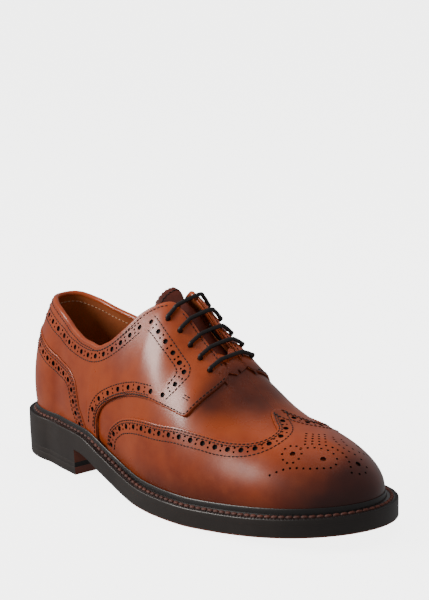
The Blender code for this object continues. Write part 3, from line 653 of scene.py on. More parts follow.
def pairs(curve, runs, half=PAIR_HALF):
    """Pairs of places on both sides of a curve, at these distances along it."""
    run = run_of(last(curve[:, 0], curve[:, 1]))
    moved = [inset(curve, shift) for shift in (-half, half)]
    return np.concatenate([np.stack([np.interp(runs, run, m[:, i]) for i in (0, 1)], 1) for m in moved])


def band_places(curve, pitch, first, pair_half, end=0.002):
    """Places of a brogue band: large holes at an even pitch, and between them pairs of small ones."""
    total = length_of(curve)
    large = np.arange(first, total - end, pitch)
    between = large[:-1] + pitch / 2
    return at_runs(curve, large), pairs(curve, between, pair_half)


def group_tools(name, inputs, outputs):
    """Node group with its interface, and its input and output nodes."""
    group = bpy.data.node_groups.new(name, "ShaderNodeTree")
    for label, kind in inputs:
        group.interface.new_socket(label, in_out="INPUT", socket_type=kind)
    for label, kind in outputs:
        group.interface.new_socket(label, in_out="OUTPUT", socket_type=kind)
    return group, group.nodes.new("NodeGroupInput"), group.nodes.new("NodeGroupOutput")


def noise(group, vector, scale, detail=3.0, rough=0.5):
    """Noise texture of a scale, read at a vector."""
    node = group.nodes.new("ShaderNodeTexNoise")
    node.inputs["Scale"].default_value = scale
    node.inputs["Detail"].default_value = detail
    node.inputs["Roughness"].default_value = rough
    group.links.new(vector, node.inputs["Vector"])
    return node.outputs["Fac"]


def mapped(group, value, low, high, to_low, to_high):
    """Value mapped from one range to another, with a soft start and stop."""
    node = group.nodes.new("ShaderNodeMapRange")
    node.interpolation_type = "SMOOTHSTEP"
    ends = (("From Min", low), ("From Max", high), ("To Min", to_low), ("To Max", to_high))
    for label, number in ends:
        node.inputs[label].default_value = number
    group.links.new(value, node.inputs["Value"])
    return node.outputs["Result"]


def math(group, operation, a, b):
    """Result of a math node on two values, each a socket or a number."""
    node = group.nodes.new("ShaderNodeMath")
    node.operation = operation
    for socket, value in zip(node.inputs, (a, b)):
        if isinstance(value, (int, float)):
            socket.default_value = value
        else:
            group.links.new(value, socket)
    return node.outputs[0]


def mixed(group, factor, a, b):
    """Colour between two colours, each a socket or a constant."""
    node = group.nodes.new("ShaderNodeMix")
    node.data_type = "RGBA"
    if isinstance(factor, (int, float)):
        node.inputs["Factor"].default_value = factor
    else:
        group.links.new(factor, node.inputs["Factor"])
    for socket, value in ((node.inputs[6], a), (node.inputs[7], b)):
        if isinstance(value, tuple):
            socket.default_value = (*value, 1.0)
        else:
            group.links.new(value, socket)
    return node.outputs[2]


def calf_group():
    """Polished calf: hand-burnished colour from place and clouds, painted shade under the tab tips,
    uneven polish and a fine grain.
    """
    outputs = [("Color", "NodeSocketColor")]
    outputs += [("Roughness", "NodeSocketFloat"), ("Height", "NodeSocketFloat")]
    group, _, out = group_tools("polished_calf", [], outputs)
    where = group.nodes.new("ShaderNodeTexCoord").outputs["Object"]
    split = group.nodes.new("ShaderNodeSeparateXYZ")
    group.links.new(where, split.inputs[0])
    x, _, z = split.outputs
    clouds = noise(group, where, 22.0, 3.0, 0.55)
    fine = noise(group, where, 95.0, 4.0, 0.6)
    patch = mapped(group, clouds, 0.3, 0.7, 0, 1)
    ground = mixed(group, patch, (0.380, 0.062, 0.012), (0.230, 0.030, 0.006))
    ground = mixed(group, mapped(group, fine, 0.35, 0.75, 0, 0.35), ground, (0.40, 0.082, 0.022))
    sole_line = mapped(group, z, 0.012, 0.034, 0.55, 0.0)
    toe = mapped(group, x, 0.085, 0.135, 0.0, 0.85)
    toe = math(group, "MULTIPLY", toe, mapped(group, z, 0.058, 0.040, 0.25, 1.0))
    # Painted shade: darker on the vamp under and ahead of the tab tips, from 52 mm up and 30 mm forward
    throat = mapped(group, z, 0.052, 0.068, 0.0, 0.9)
    throat = math(group, "MULTIPLY", throat, mapped(group, x, 0.030, 0.044, 0.0, 1.0))
    dark = math(group, "MAXIMUM", math(group, "MAXIMUM", sole_line, toe), throat)
    dark = math(group, "MULTIPLY", dark, mapped(group, clouds, 0.25, 0.65, 0.75, 1.15))
    # The darkest tone serves both the burnish at the sole line and toe and the painted shade ahead of
    # the tab tips
    group.links.new(mixed(group, dark, ground, (0.034, 0.005, 0.003)), out.inputs["Color"])
    uneven = math(group, "MULTIPLY", fine, 0.06)
    polish = math(group, "ADD", mapped(group, clouds, 0.3, 0.7, 0.24, 0.32), uneven)
    group.links.new(polish, out.inputs["Roughness"])
    grain = noise(group, where, 900.0, 2.0, 0.5)
    pores = group.nodes.new("ShaderNodeTexVoronoi")
    pores.inputs["Scale"].default_value = 1500.0
    group.links.new(where, pores.inputs["Vector"])
    coarse = math(group, "MULTIPLY", grain, 0.6)
    height = math(group, "ADD", coarse, math(group, "MULTIPLY", pores.outputs["Distance"], 0.4))
    group.links.new(height, out.inputs["Height"])
    return group


def wear_group():
    """Two-tone colour with clouds and streaks along X, for edges, linings and heel leather."""
    inputs = [("Light", "NodeSocketColor"), ("Dark", "NodeSocketColor"), ("Streaks", "NodeSocketFloat")]
    outputs = [("Color", "NodeSocketColor"), ("Height", "NodeSocketFloat")]
    group, into, out = group_tools("worn_two_tone", inputs, outputs)
    where = group.nodes.new("ShaderNodeTexCoord").outputs["Object"]
    squeeze = group.nodes.new("ShaderNodeMapping")
    squeeze.inputs["Scale"].default_value = (1.0, 1.0, 14.0)
    group.links.new(where, squeeze.inputs["Vector"])
    clouds = noise(group, where, 60.0, 4.0, 0.6)
    layers = noise(group, squeeze.outputs[0], 120.0, 2.0, 0.5)
    blend = math(group, "ADD", clouds, math(group, "MULTIPLY", layers, into.outputs["Streaks"]))
    tone = mapped(group, blend, 0.35, 1.0, 0, 1)
    colour = mixed(group, tone, into.outputs["Dark"], into.outputs["Light"])
    group.links.new(colour, out.inputs["Color"])
    group.links.new(math(group, "ADD", noise(group, where, 1100.0, 2.0), blend), out.inputs["Height"])
    return group


def shader_of(name, roughness, coat=0.0, coat_roughness=0.1):
    """New material and its Principled shader with constant finish values."""
    finish = bpy.data.materials.new(name)
    finish.use_nodes = True
    shader = finish.node_tree.nodes["Principled BSDF"]
    shader.inputs["Roughness"].default_value = roughness
    shader.inputs["Metallic"].default_value = 0.0
    shader.inputs["Coat Weight"].default_value = coat
    shader.inputs["Coat Roughness"].default_value = coat_roughness
    return finish, shader


def bump(finish, shader, height, strength, distance):
    """Bump from a height socket into the shader."""
    node = finish.node_tree.nodes.new("ShaderNodeBump")
    node.inputs["Strength"].default_value = strength
    node.inputs["Distance"].default_value = distance
    finish.node_tree.links.new(height, node.inputs["Height"])
    finish.node_tree.links.new(node.outputs["Normal"], shader.inputs["Normal"])


def calf_material(group):
    """Calf of the upper pieces."""
    finish, shader = shader_of("tan_calf", 0.28, 0.16, 0.20)
    shader.inputs["Specular IOR Level"].default_value = 0.42
    node = finish.node_tree.nodes.new("ShaderNodeGroup")
    node.node_tree = group
    finish.node_tree.links.new(node.outputs["Color"], shader.inputs["Base Color"])
    finish.node_tree.links.new(node.outputs["Roughness"], shader.inputs["Roughness"])
    bump(finish, shader, node.outputs["Height"], 0.18, 0.0001)
    return finish


def worn_material(group, name, light, dark, roughness, streaks=0.0, coat=0.0, depth=0.0001):
    """Material on the shared two-tone group."""
    finish, shader = shader_of(name, roughness, coat)
    node = finish.node_tree.nodes.new("ShaderNodeGroup")
    node.node_tree = group
    node.inputs["Light"].default_value = (*light, 1.0)
    node.inputs["Dark"].default_value = (*dark, 1.0)
    node.inputs["Streaks"].default_value = streaks
    finish.node_tree.links.new(node.outputs["Color"], shader.inputs["Base Color"])
    bump(finish, shader, node.outputs["Height"], 0.3, depth)
    return finish


worn = wear_group()
calf = calf_material(calf_group())
lining = worn_material(worn, "tan_lining", (0.42, 0.115, 0.032), (0.29, 0.072, 0.019), 0.60)
# Tongue: darker than the calf, partly its own burnished brown and partly painted shade of the gap
# between the facings
tongue_calf_burnish_and_shade = worn_material(worn, "tongue_calf_burnish_and_shade", (0.15, 0.022, 0.007), (0.07, 0.010, 0.004), 0.55)
# Cut edge: the raw edge is lighter than the calf, and partly a painted highlight along the overlays'
# rims
cut = worn_material(worn, "cut_edge_and_highlight", (0.60, 0.150, 0.045), (0.46, 0.100, 0.030), 0.50)
edge = worn_material(worn, "burnished_edge", (0.027, 0.020, 0.017), (0.017, 0.012, 0.010), 0.46, 0.3)
welt_black = worn_material(worn, "welt_black", (0.012, 0.009, 0.008), (0.007, 0.005, 0.005), 0.40,
                           0.0, 0.1)
rim = worn_material(worn, "sole_rim", (0.34, 0.070, 0.024), (0.20, 0.040, 0.016), 0.40)
breast = worn_material(worn, "heel_breast", (0.20, 0.050, 0.024), (0.12, 0.028, 0.014), 0.42, 0.6)
rubber = worn_material(worn, "rubber_band", (0.020, 0.018, 0.018), (0.012, 0.010, 0.010), 0.60)
base = worn_material(worn, "heel_base", (0.20, 0.040, 0.020), (0.12, 0.024, 0.012), 0.42, 0.4)
thread = worn_material(worn, "brown_thread", (0.022, 0.009, 0.006), (0.012, 0.005, 0.004), 0.60)
welt_thread = worn_material(worn, "rust_thread", (0.17, 0.042, 0.022), (0.06, 0.016, 0.010), 0.65)
pale_thread = worn_material(worn, "lining_thread", (0.62, 0.42, 0.26), (0.46, 0.28, 0.16), 0.65)
# Painted shade: near-black for the walls of the punched holes and the discs behind them, where the
# leather below lies in shade
shadow = worn_material(worn, "hole_painted_shade", (0.010, 0.005, 0.004), (0.006, 0.003, 0.003), 0.80)
cord_finish = worn_material(worn, "waxed_lace", (0.016, 0.010, 0.009), (0.008, 0.005, 0.005), 0.55,
                            0.0, 0.05)


# Curves that the pieces share
wing_outer = fair([p for p in WING_EDGE if p[1] > -0.1])
wing_outer = np.concatenate([[(0.369, -0.06)], wing_outer[wing_outer[:, 1] > -0.04]])
counter_outer = fair(COUNTER_EDGE)
counter_outer = counter_outer[counter_outer[:, 1] > -0.06]
counter_line = np.concatenate([counter_outer, counter_outer[::-1][1:] * (-1, 1)])
quarter_low = fair(QUARTER_EDGE)[::-1]
quarter_low = quarter_low[quarter_low[:, 1] > -0.06]


def raised(curve):
    """Inner side's lower edge of the quarter: the tab sits higher there."""
    a, u = curve.T
    rise = INNER_TAB_RISE * (0.6 + 0.4 * np.clip((a - 0.44) / 0.1, 0, 1))
    return np.stack([a, np.minimum(u + rise * np.clip(u, 0, 1), 0.95)], 1)


def make_upper():
    """Upper as one hollow shell with its lining: vamp and quarters, open at collar and throat."""
    columns = np.unique(np.concatenate([np.linspace(0, 1, 230), [0.590, 0.594, 0.598, 0.602, 0.61]]))
    top = np.linspace(0, 1, 52) ** 0.9
    share = np.concatenate([[-0.1], top[:-1], 1 - np.array([0.006, 0.003, 0.0012, 0.0])])
    grids = []
    for side, order in ((-1, slice(None)), (1, slice(None, None, -1))):
        along = np.broadcast_to(columns[order], (len(share), len(columns)))
        closed = np.clip((along - THROAT_SHUTS) / THROAT_SHUT_OVER, 0, 1)
        rim_up = top_edge(side, along) * (1 - closed) + closed
        up = np.where(share[:, None] < 0, share[:, None], share[:, None] * rim_up)
        grids.append((along, up if side < 0 else 2 - up))
    a = np.concatenate([grids[0][0], grids[1][0][:, 1:]], 1)
    w = np.concatenate([grids[0][1], grids[1][1][:, 1:]], 1)
    return leather("upper_calf", a, w, np.full(a.shape, -UPPER_WALL), np.zeros(a.shape),
                   [calf, lining], ["upper"], "bt", True, True)


def make_cap():
    """Wing cap with its rounded cut edge, from the wings on both sides round the toe."""
    half = at_runs(wing_outer, np.linspace(0, length_of(wing_outer), 89))
    half[-1] = wing_outer[-1]
    edge_line = np.concatenate([half, half[::-1][1:] * (1, -1) + (0, 2)])
    front = np.stack([np.ones(len(edge_line)), edge_line[:, 1]], 1)
    a, w, from_edge, _ = strip(edge_line, front, 96, True, False)
    low = np.full(a.shape, OVERLAY_GAP)
    high = low + OVERLAY * edge_share(from_edge)
    return leather("wing_cap_calf", a, w, low, high, [calf, shadow, cut], ["wing_cap"],
                   "blr", False, True)


def make_quarter(name, side, nodes):
    """Quarter with facing and tab: from its lower edge and the counter's up to collar and throat."""
    outer = side < 0
    lower = (quarter_low if outer else raised(quarter_low)).copy()
    lower[:, 1] = np.minimum(lower[:, 1], TAB_TOP * top_edge(side, lower[:, 0]))
    rear = counter_outer[::-1]
    rear = inset(rear, 0.0002) if outer else rear
    rear[0] = (QUARTER_REAR, rear[0][1])
    low = np.concatenate([rear, lower[lower[:, 1] > -0.06]])
    along = np.linspace(QUARTER_REAR, QUARTER_FRONT, 260)
    high = np.stack([along, top_edge(side, along) * QUARTER_TOP], 1)
    if not outer:
        low = low * (1, -1) + (0, 2)
        high = high * (1, -1) + (0, 2)
    share = np.concatenate([np.linspace(0, 0.985, 190), 1 - NEAR[::-1] / 0.25])
    share = np.unique(np.clip(share, 0, 1))
    low = at_runs(low, share * length_of(low))
    high = at_runs(high, share * length_of(high))
    a, w, from_low, from_high = strip(low, high, 52)
    from_front = np.broadcast_to((1 - share) * QUARTER_RUN, a.shape)
    beside = np.minimum(np.minimum(from_low, from_high), from_front)
    floor = np.full(a.shape, OVERLAY_GAP)
    high = floor + OVERLAY * edge_share(beside)
    return leather(name, a, w, floor, high, [calf, shadow, cut], nodes)


def make_counter():
    """Heel counter: round the back of the heel, a little prouder than the quarters beside it."""
    count = 150
    top = at_runs(counter_line, np.linspace(0, length_of(counter_line), count))
    foot_along = np.linspace(top[0, 0] - 0.001, top[-1, 0] + 0.001, count)
    foot = np.stack([foot_along, np.full(count, -0.09)], 1)
    a, w, _, from_top = strip(foot, top, 40, False, True)
    floor = np.full(a.shape, OVERLAY_GAP)
    high = floor + COUNTER_PROUD + OVERLAY * edge_share(from_top)
    return leather("counter_calf", a, w, floor, high, [calf, shadow, cut], ["counter"])


def eyelet(side, along):
    """`up` of an eyelet's middle on its side, a set distance below the throat's edge."""
    up = np.linspace(0.4, float(top_edge(side, along)), 241)
    points = rib(side, np.full_like(up, along), up)
    return float(np.interp(-EYELET_TO_EDGE, -np.linalg.norm(points - points[-1], axis=1), up))


def tongue_flare(a, across):
    """Lift of the tongue's free end: an eased rise to its top edge that fades towards its sides."""
    free = np.clip((TONGUE_FREE - a) / (TONGUE_FREE - TONGUE_TOP), 0, 1)
    middle = np.clip(1 - (np.abs(across) / TONGUE_FLARE_HALF) ** 5, 0, 1)
    return TONGUE_FLARE * free ** 2 * (3 - 2 * free) * middle


def make_tongue():
    """Tongue with its pinked top edge, flared over the collar and sewn in under the vamp.

    Gives back the middles and ways of the row of stitches along its top.
    """
    points = 4 * TONGUE_TEETH + 1
    across = np.linspace(-TONGUE_HALF, TONGUE_HALF, points)
    zigzag = TONGUE_TOOTH * np.abs((np.arange(points) % 4) - 2) / 2
    down = np.concatenate([[0, 0.002, 0.006, 0.012], np.linspace(0.02, 1, 60)])[:, None]
    corner = TONGUE_CORNER * np.abs(across / TONGUE_HALF) ** 2.5
    top = TONGUE_TOP + corner + zigzag - TONGUE_TOOTH
    a = top + (TONGUE_END - top) * down
    w = np.broadcast_to(1 + across, a.shape)
    sewn = np.clip((a - TONGUE_SEWN) / (TONGUE_END - TONGUE_SEWN), 0, 1)
    under = UPPER_WALL + GAP
    high = tongue_flare(a, across) - under - TONGUE_DROP * (1 - sewn * sewn * (3 - 2 * sewn))
    leather("tongue_calf_burnish_and_shade", a, w, high - TONGUE_WALL, high, [tongue_calf_burnish_and_shade, lining], ["tongue"],
            lined=True)
    row = np.stack([top + 0.011, 1 + across], 1)[6:-6]
    lift = float(high[6, len(across) // 2])
    run = run_of(last(row[:, 0], row[:, 1], lift))
    marks = np.arange(0.001, run[-1], TONGUE_STITCH_PITCH)
    ends = []
    for runs in (marks, marks + TONGUE_STITCH_LENGTH):
        along = np.interp(runs, run, row[:, 0])
        beside = np.interp(runs, run, row[:, 1])
        height = tongue_flare(along, beside - 1) - under - TONGUE_DROP + 0.0001
        ends.append(last(along, beside, height))
    return (ends[0] + ends[1]) / 2, ends[1] - ends[0]


def tube(name, line, radius, finish, nodes=(), sides=14, wave=None):
    """Round cord along a line of points, with flat ends; wave(run, turn) scales its radius."""
    way = unit(np.gradient(line, axis=0))
    across = [unit(np.cross(way[0], (0.0, 0.0, 1.0)))]
    for k in range(1, len(line)):
        step = across[-1] - way[k] * (across[-1] @ way[k])
        across.append(unit(step))
    across = np.array(across)
    rise = np.cross(way, across)
    turn = np.linspace(0, 2 * np.pi, sides, endpoint=False)
    size = np.full((len(line), sides), radius)
    if wave:
        size = radius * wave(run_of(line)[:, None], turn[None, :])
    ring = np.cos(turn)[None, :, None] * across[:, None] + np.sin(turn)[None, :, None] * rise[:, None]
    points = (line[:, None] + ring * size[..., None]).reshape(-1, 3)
    i = np.arange(len(line) - 1)[:, None] * sides
    j = np.arange(sides)[None, :]
    k = (j + 1) % sides
    faces = np.stack([i + j, i + k, i + sides + k, i + sides + j], -1).reshape(-1, 4).tolist()
    faces.append(list(range(sides)))
    faces.append(list(range(len(points) - sides, len(points))))
    return new_piece(name, points, faces, [finish], nodes)


def make_lace():
    """Lace: five straight bars over the throat, and hidden runs under the facings."""
    over = TOP + GAP + LACE_DIAMETER / 2
    under = -UPPER_WALL - 2 * GAP - LACE_DIAMETER / 2
    route = []
    for number, along in enumerate(EYELETS[::-1]):
        first = -1 if number % 2 == 0 else 1
        for side in (first, -first):
            up = eyelet(side, along)
            top = float(top_edge(side, along))
            turn = [skin(side, along, up, lift) for lift in (under, 0.9 * over)]
            turn.append(skin(side, along, up + 0.024, over))
            turn.append(skin(side, along, 0.4 * up + 0.6 * top, over))
            turn.append(skin(side, along, top, over))
            if number == 0 and side == first:
                tail = np.linspace(EYELETS[0], along, 8)[:-1]
                route += [skin(side, a, eyelet(side, a) - 0.085, under) for a in tail]
            route += turn if side == first else turn[::-1]
    line = fair(route, 7)

    def braid(run, turn):
        """Plaits of a braided cord: two sets of ridges that wind opposite ways."""
        left = np.abs(np.sin(2 * turn + run * 1500))
        right = np.abs(np.sin(2 * turn - run * 1500))
        return 0.95 + 0.06 * np.maximum(left, right)

    return tube("lace_cord", line, 0.45 * LACE_DIAMETER, cord_finish, ["lace"], 16, braid)


SIDE_COUNT = 620


def even_stations():
    """`along` values that are evenly spaced round the sole's edge, for both sides."""
    tables = []
    for side in (-1, 1):
        fine = np.linspace(0, 1, 4001)
        x, y, _ = outline(side, fine)
        run = run_of(np.stack([x, y], 1))
        tables.append(np.interp(np.linspace(0, run[-1], SIDE_COUNT), run, fine))
    return tables


STATIONS = even_stations()


def ring(inset_heel, inset_toe, height, end=None):
    """Closed ring round the sole, outer side from heel to toe and inner side back."""
    parts = []
    for side, along in zip((-1, 1), STATIONS):
        if end:
            along = np.linspace(0, end, 140)
        x, y, share = outline(side, along, inset_heel, inset_toe)
        line = np.stack([x, y, height(share)], -1)
        parts.append(line if side < 0 else line[::-1][(0 if end else 1):-1])
    return np.concatenate(parts)


def solid_of_rings(name, rings, finishes, nodes, indices, closed=False, caps=True):
    """Solid from rings piled up, or a closed band where the last ring joins the first."""
    count = len(rings[0])
    points = np.concatenate(rings)
    levels = len(rings) if closed else len(rings) - 1
    faces = []
    index = []
    j = np.arange(count)
    k = (j + 1) % count
    for level in range(levels):
        s = level * count
        n = (level + 1) % len(rings) * count
        faces.append(np.stack([s + j, s + k, n + k, n + j], 1))
        index.append(np.full(count, indices[level]))
    faces = np.concatenate(faces).tolist()
    index = np.concatenate(index).tolist()
    if caps:
        half = count // 2 + 1
        for s, mark in ((0, indices[0]), ((len(rings) - 1) * count, indices[-1])):
            for i in range(half - 1):
                mate = (count - i) % count
                after = count - i - 1
                quad = [s + i, s + i + 1, s + after, s + mate]
                quad = list(dict.fromkeys(quad))
                if len(quad) > 2:
                    faces.append(quad)
                    index.append(mark)
    return new_piece(name, points, faces, finishes, nodes, index)


def level(rise):
    """Height function: a set distance above the sole's underside."""
    return lambda share: sole_bottom(share) + rise


def make_outsole():
    """Outsole: one slab of leather with a red rim round its underside, as rings piled up."""
    sole = solid_of_rings("outsole_leather", [
        ring(0.0022, 0.0022, level(0.0)),
        ring(0.0009, 0.0009, level(0.0)),
        ring(0.0002, 0.0002, level(0.0002)),
        ring(0.0, 0.0, level(0.0006)),
        ring(0.0, 0.0, level(0.0009)),
        ring(0.0, 0.0, level(0.0011)),
        ring(0.0, 0.0, level(0.5 * OUTSOLE_THICKNESS)),
        ring(0.0, 0.0, level(OUTSOLE_THICKNESS - LAYER_GAP)),
    ], [edge, rim, breast], ["outsole"], [2, 1, 1, 1, 0, 0, 0, 2])
    for face in sole.data.polygons:
        if face.material_index == 1 and face.center.x < RIM_FROM:
            face.material_index = 0


def make_welt():
    """Storm welt: a ridge beside the upper that falls off as a cosine, and a wheeled edge."""
    def beside(up, lift):
        outer = skin(-1, STATIONS[0], up, lift)
        inner = skin(1, STATIONS[1], up, lift)[::-1][1:]
        return np.concatenate([outer, inner])[:-1]

    share = np.concatenate([station(STATIONS[0])[0], station(STATIONS[1])[0][::-1][1:]])[:-1]
    flat = welt_top(share)
    outer_edge = ring(0.0, 0.0, sole_bottom)
    clear = TOP + 2 * GAP
    foot = beside(0.0, clear)
    crown = beside(RIDGE_UP, clear)

    def at(source, z):
        moved = source.copy()
        moved[:, 2] = z
        return moved

    def outward(distance, z):
        way = unit(outer_edge[:, :2] - crown[:, :2])
        moved = at(crown, z)
        moved[:, :2] += way * distance
        return moved

    rings = [at(foot, flat - WELT_THICKNESS), at(foot, flat), at(crown, flat + 0.93 * STORM_RIDGE)]
    for share_out in np.linspace(0.1, 1, 9):
        height = RIDGE_FOOT + (STORM_RIDGE - RIDGE_FOOT) * np.cos(np.pi / 2 * share_out ** 1.3)
        rings.append(outward(RIDGE_WIDTH * share_out, flat + height))
    phase = np.arange(len(flat)) * (2 * np.pi / 4)
    wheel = WHEEL_TOOTH * np.cos(phase)
    rings.append(ring(0.0024, 0.0024, welt_top))
    tooth = ring(0.0016, 0.0016, lambda s: welt_top(s) + 0.0002)
    tooth[:, 2] += wheel
    rings.append(tooth)
    tooth = ring(0.0007, 0.0007, lambda s: welt_top(s) + 0.0001)
    tooth[:, 2] += wheel
    rings.append(tooth)
    rings.append(ring(0.0003, 0.0003, lambda s: welt_top(s)))
    rings.append(ring(0.00005, 0.00005, lambda s: welt_top(s) - 0.0003))
    rings.append(ring(0.0, 0.0, lambda s: welt_top(s) - 0.0008))
    rings.append(ring(0.0, 0.0, lambda s: welt_top(s) - WELT_THICKNESS))
    marks = [1] * (len(rings) - 3) + [0] * 3
    solid_of_rings("storm_welt", rings, [edge, welt_black], ["welt"], marks, True, False)


def make_welt_stitches():
    """Stitches of rust thread that lie along the welt at an even pitch."""
    line = ring(WELT_STITCH_INSET, WELT_STITCH_INSET, welt_top)
    closed = np.concatenate([line, line[:1]])
    run = run_of(closed)
    marks = np.arange(0.0, run[-1] - 0.004, WELT_STITCH_PITCH)
    heads = np.stack([np.interp(marks, run, closed[:, i]) for i in range(3)], 1)
    ends = marks + WELT_STITCH_LENGTH
    tails = np.stack([np.interp(ends, run, closed[:, i]) for i in range(3)], 1)
    rods("welt_stitches", (heads + tails) / 2, tails - heads, np.full(len(marks), WELT_STITCH_RADIUS),
         np.full(len(marks), WELT_STITCH_HALF), 8, 5, [welt_thread], "sole_edge")


def make_insole():
    """Insole with its sock, drawn in from the feather line by the upper's wall."""
    heel = WELT_AT_HEEL + UPPER_WALL + 0.0008
    toe = WELT_AT_TOE + UPPER_WALL + 0.0008
    sock_top = OUTSOLE_THICKNESS + INSOLE_THICKNESS
    solid_of_rings("insole_sock", [
        ring(heel, toe, level(OUTSOLE_THICKNESS)),
        ring(heel, toe, level(sock_top - 0.0003)),
        ring(heel + 0.0006, toe + 0.0006, level(sock_top)),
    ], [lining], ["insole"], [0, 0, 0])


def make_heel():
    """Heel: lifts, black band and top piece, each a layer that narrows a little downwards."""
    breast_at = ALONG_HEEL + (BREAST - HEEL_ROUND) * (ALONG_TOE - ALONG_HEEL) / (TOE_ROUND - HEEL_ROUND)

    def heel_ring(z, more=0.0):
        inset_by = HEEL_TAPER * (1 - z / HEEL_HEIGHT) + more
        return ring(inset_by, inset_by, lambda s: np.full_like(s, z), breast_at)

    def layer(name, low, high, front, node, seat=None):
        """One layer of the heel: burnished round the side, bare leather on the breast."""
        rings = [heel_ring(low, 0.00008), heel_ring(low + 0.0002), heel_ring(high - 0.0002)]
        rings.append(heel_ring(high, 0.00008) if seat is None else seat)
        piece = solid_of_rings(name, rings, [edge, front, rim], [node], [0, 0, 0, 0])
        way = np.empty(3 * len(piece.data.polygons))
        piece.data.polygons.foreach_get("normal", way)
        middle = np.empty(3 * len(piece.data.polygons))
        piece.data.polygons.foreach_get("center", middle)
        way = way.reshape(-1, 3)
        middle = middle.reshape(-1, 3)
        marks = np.where((way[:, 0] > 0.8) & (np.abs(middle[:, 1] + 0.005) < 0.02), 1, 0)
        marks = np.where((middle[:, 2] < 0.00021) & (marks == 0), 2, marks)
        piece.data.polygons.foreach_set("material_index", marks)

    low = TOP_PIECE + HEEL_BAND
    layer("heel_top_piece", 0.0, TOP_PIECE - 0.00004, base, "top_piece")
    layer("heel_rubber", TOP_PIECE, low - 0.00004, rubber, "heel_band")
    seat = ring(-LAYER_GAP, -LAYER_GAP, level(0.0009), breast_at)
    layer("heel_stack", low, 0.0150, breast, "heel_lifts", seat)


make_outsole()
make_welt()
make_welt_stitches()
make_insole()
make_heel()
upper = make_upper()
cap = make_cap()
quarter_outer = make_quarter("quarter_outer_calf", -1, ["quarter_outer"])
quarter_inner = make_quarter("quarter_inner_calf", 1, ["quarter_inner"])
counter = make_counter()
tongue_stitches = make_tongue()
make_lace()


# Brogue bands, rows of stitches and their holes
thread_rows = []
painted_shade = []
holes = {"cap": [], "outer": [], "inner": [], "counter": []}

wing_middle = inset(wing_outer, -0.0051)
wing_middle = wing_middle[wing_middle[:, 1] < 0.998]
wing_rows = [inset(wing_outer, d) for d in (-0.0014, -0.0029, -0.0091)]
for mirror in (False, True):
    turn = np.array([1, -1]) if mirror else np.array([1, 1])
    shift = np.array([0, 2]) if mirror else np.array([0, 0])
    line = wing_middle[wing_middle[:, 1] > 0.03] * turn + shift
    big, small = band_places(line, 0.0085, 0.003, PAIR_HALF)
    holes["cap"] += [holes_on(big, BIG_HOLE), holes_on(small, SMALL_HOLE)]
    for row in wing_rows:
        row = row[(row[:, 1] < 0.999) & (row[:, 1] > 0.03)] * turn + shift
        thread_rows.append(stitch_rows(row, (0,), STITCH_PITCH, STITCH_LENGTH, STITCH_LIFT))


def between(points):
    """Pairs of places for the small holes, half way between one large hole and the next."""
    line = fair(points, 12)
    return pairs(line, run_of(last(*line.T))[6::12])


for key, over in (("outer", lambda c: np.array(c)), ("inner", mirrored)):
    flip = 1 if key == "outer" else -1
    for band, rows, pitch in ((COLLAR_BAND, (0.0033, -0.0035), 0.0086),
                              (LOWER_BAND, (0.0031, -0.0026, -0.0042), 0.0110)):
        line = fair(over(band))
        big, small = band_places(line, pitch, 0.0004 if band is LOWER_BAND else 0.003, PAIR_HALF)
        holes[key] += [holes_on(big, BIG_HOLE), holes_on(small, SMALL_HOLE)]
        sides = [-flip * r if band is LOWER_BAND else flip * r for r in rows]
        thread_rows.append(stitch_rows(line, sides, STITCH_PITCH, STITCH_LENGTH,
                                       STITCH_LIFT, 0.001, 0.001))
    holes[key].append(holes_on(over(FACING_HOLES), BIG_HOLE))
    holes[key].append(holes_on(between(over(FACING_HOLES)), SMALL_HOLE))
    for line in (FACING_FRONT, FACING_REAR, BAR_TACK):
        thread_rows.append(stitch_rows(fair(over(line)), (0,), STITCH_PITCH, STITCH_LENGTH,
                                       STITCH_LIFT, 0.0005, 0.0005))
    thread_rows.append(stitch_rows(fair(over(BAR_TACK)), (BAR_TACK_GAP,), STITCH_PITCH, STITCH_LENGTH,
                                   STITCH_LIFT, 0.0005, 0.0005))
    side = -1 if key == "outer" else 1
    collar = np.stack([np.linspace(0.004, 0.47, 200), top_edge(side, np.linspace(0.004, 0.47, 200))], 1)
    throat = np.stack([np.linspace(0.487, 0.606, 60), top_edge(side, np.linspace(0.487, 0.606, 60))], 1)
    front = quarter_low if key == "outer" else raised(quarter_low)
    front = front[(front[:, 1] > 0.02) & (front[:, 1] < 0.93)]
    for line, distance in ((collar, 0.0024), (throat, 0.0020), (front, -0.0014)):
        if side > 0:
            line = line * (1, -1) + (0, 2)
        thread_rows.append(stitch_rows(line, (-flip * distance,), STITCH_PITCH, STITCH_LENGTH,
                                       STITCH_LIFT, 0.002, 0.002))
    eyes = [(a, eyelet(side, a)) if side < 0 else (a, 2 - eyelet(side, a)) for a in EYELETS]
    holes[key].append(holes_on(eyes, EYELET_HOLE / 2, 0.0))

counter_top = OVERLAY_GAP + COUNTER_PROUD + OVERLAY
half = counter_outer[counter_outer[:, 1] > 0.02]
for mirror in (1, -1):
    line = half * (mirror, 1)
    middle = inset(line, mirror * 0.0062)
    middle = middle[middle[:, 0] * mirror > 0.004]
    big, small = band_places(middle, 0.0073, 0.003, PAIR_HALF)
    holes["counter"] += [holes_on(big, BIG_HOLE, counter_top), holes_on(small, SMALL_HOLE, counter_top)]
    thread_rows.append(stitch_rows(line, [mirror * d for d in (0.0014, 0.0030, 0.0094)],
                                   STITCH_PITCH, STITCH_LENGTH, counter_top + 0.0001, 0.001, 0.003))


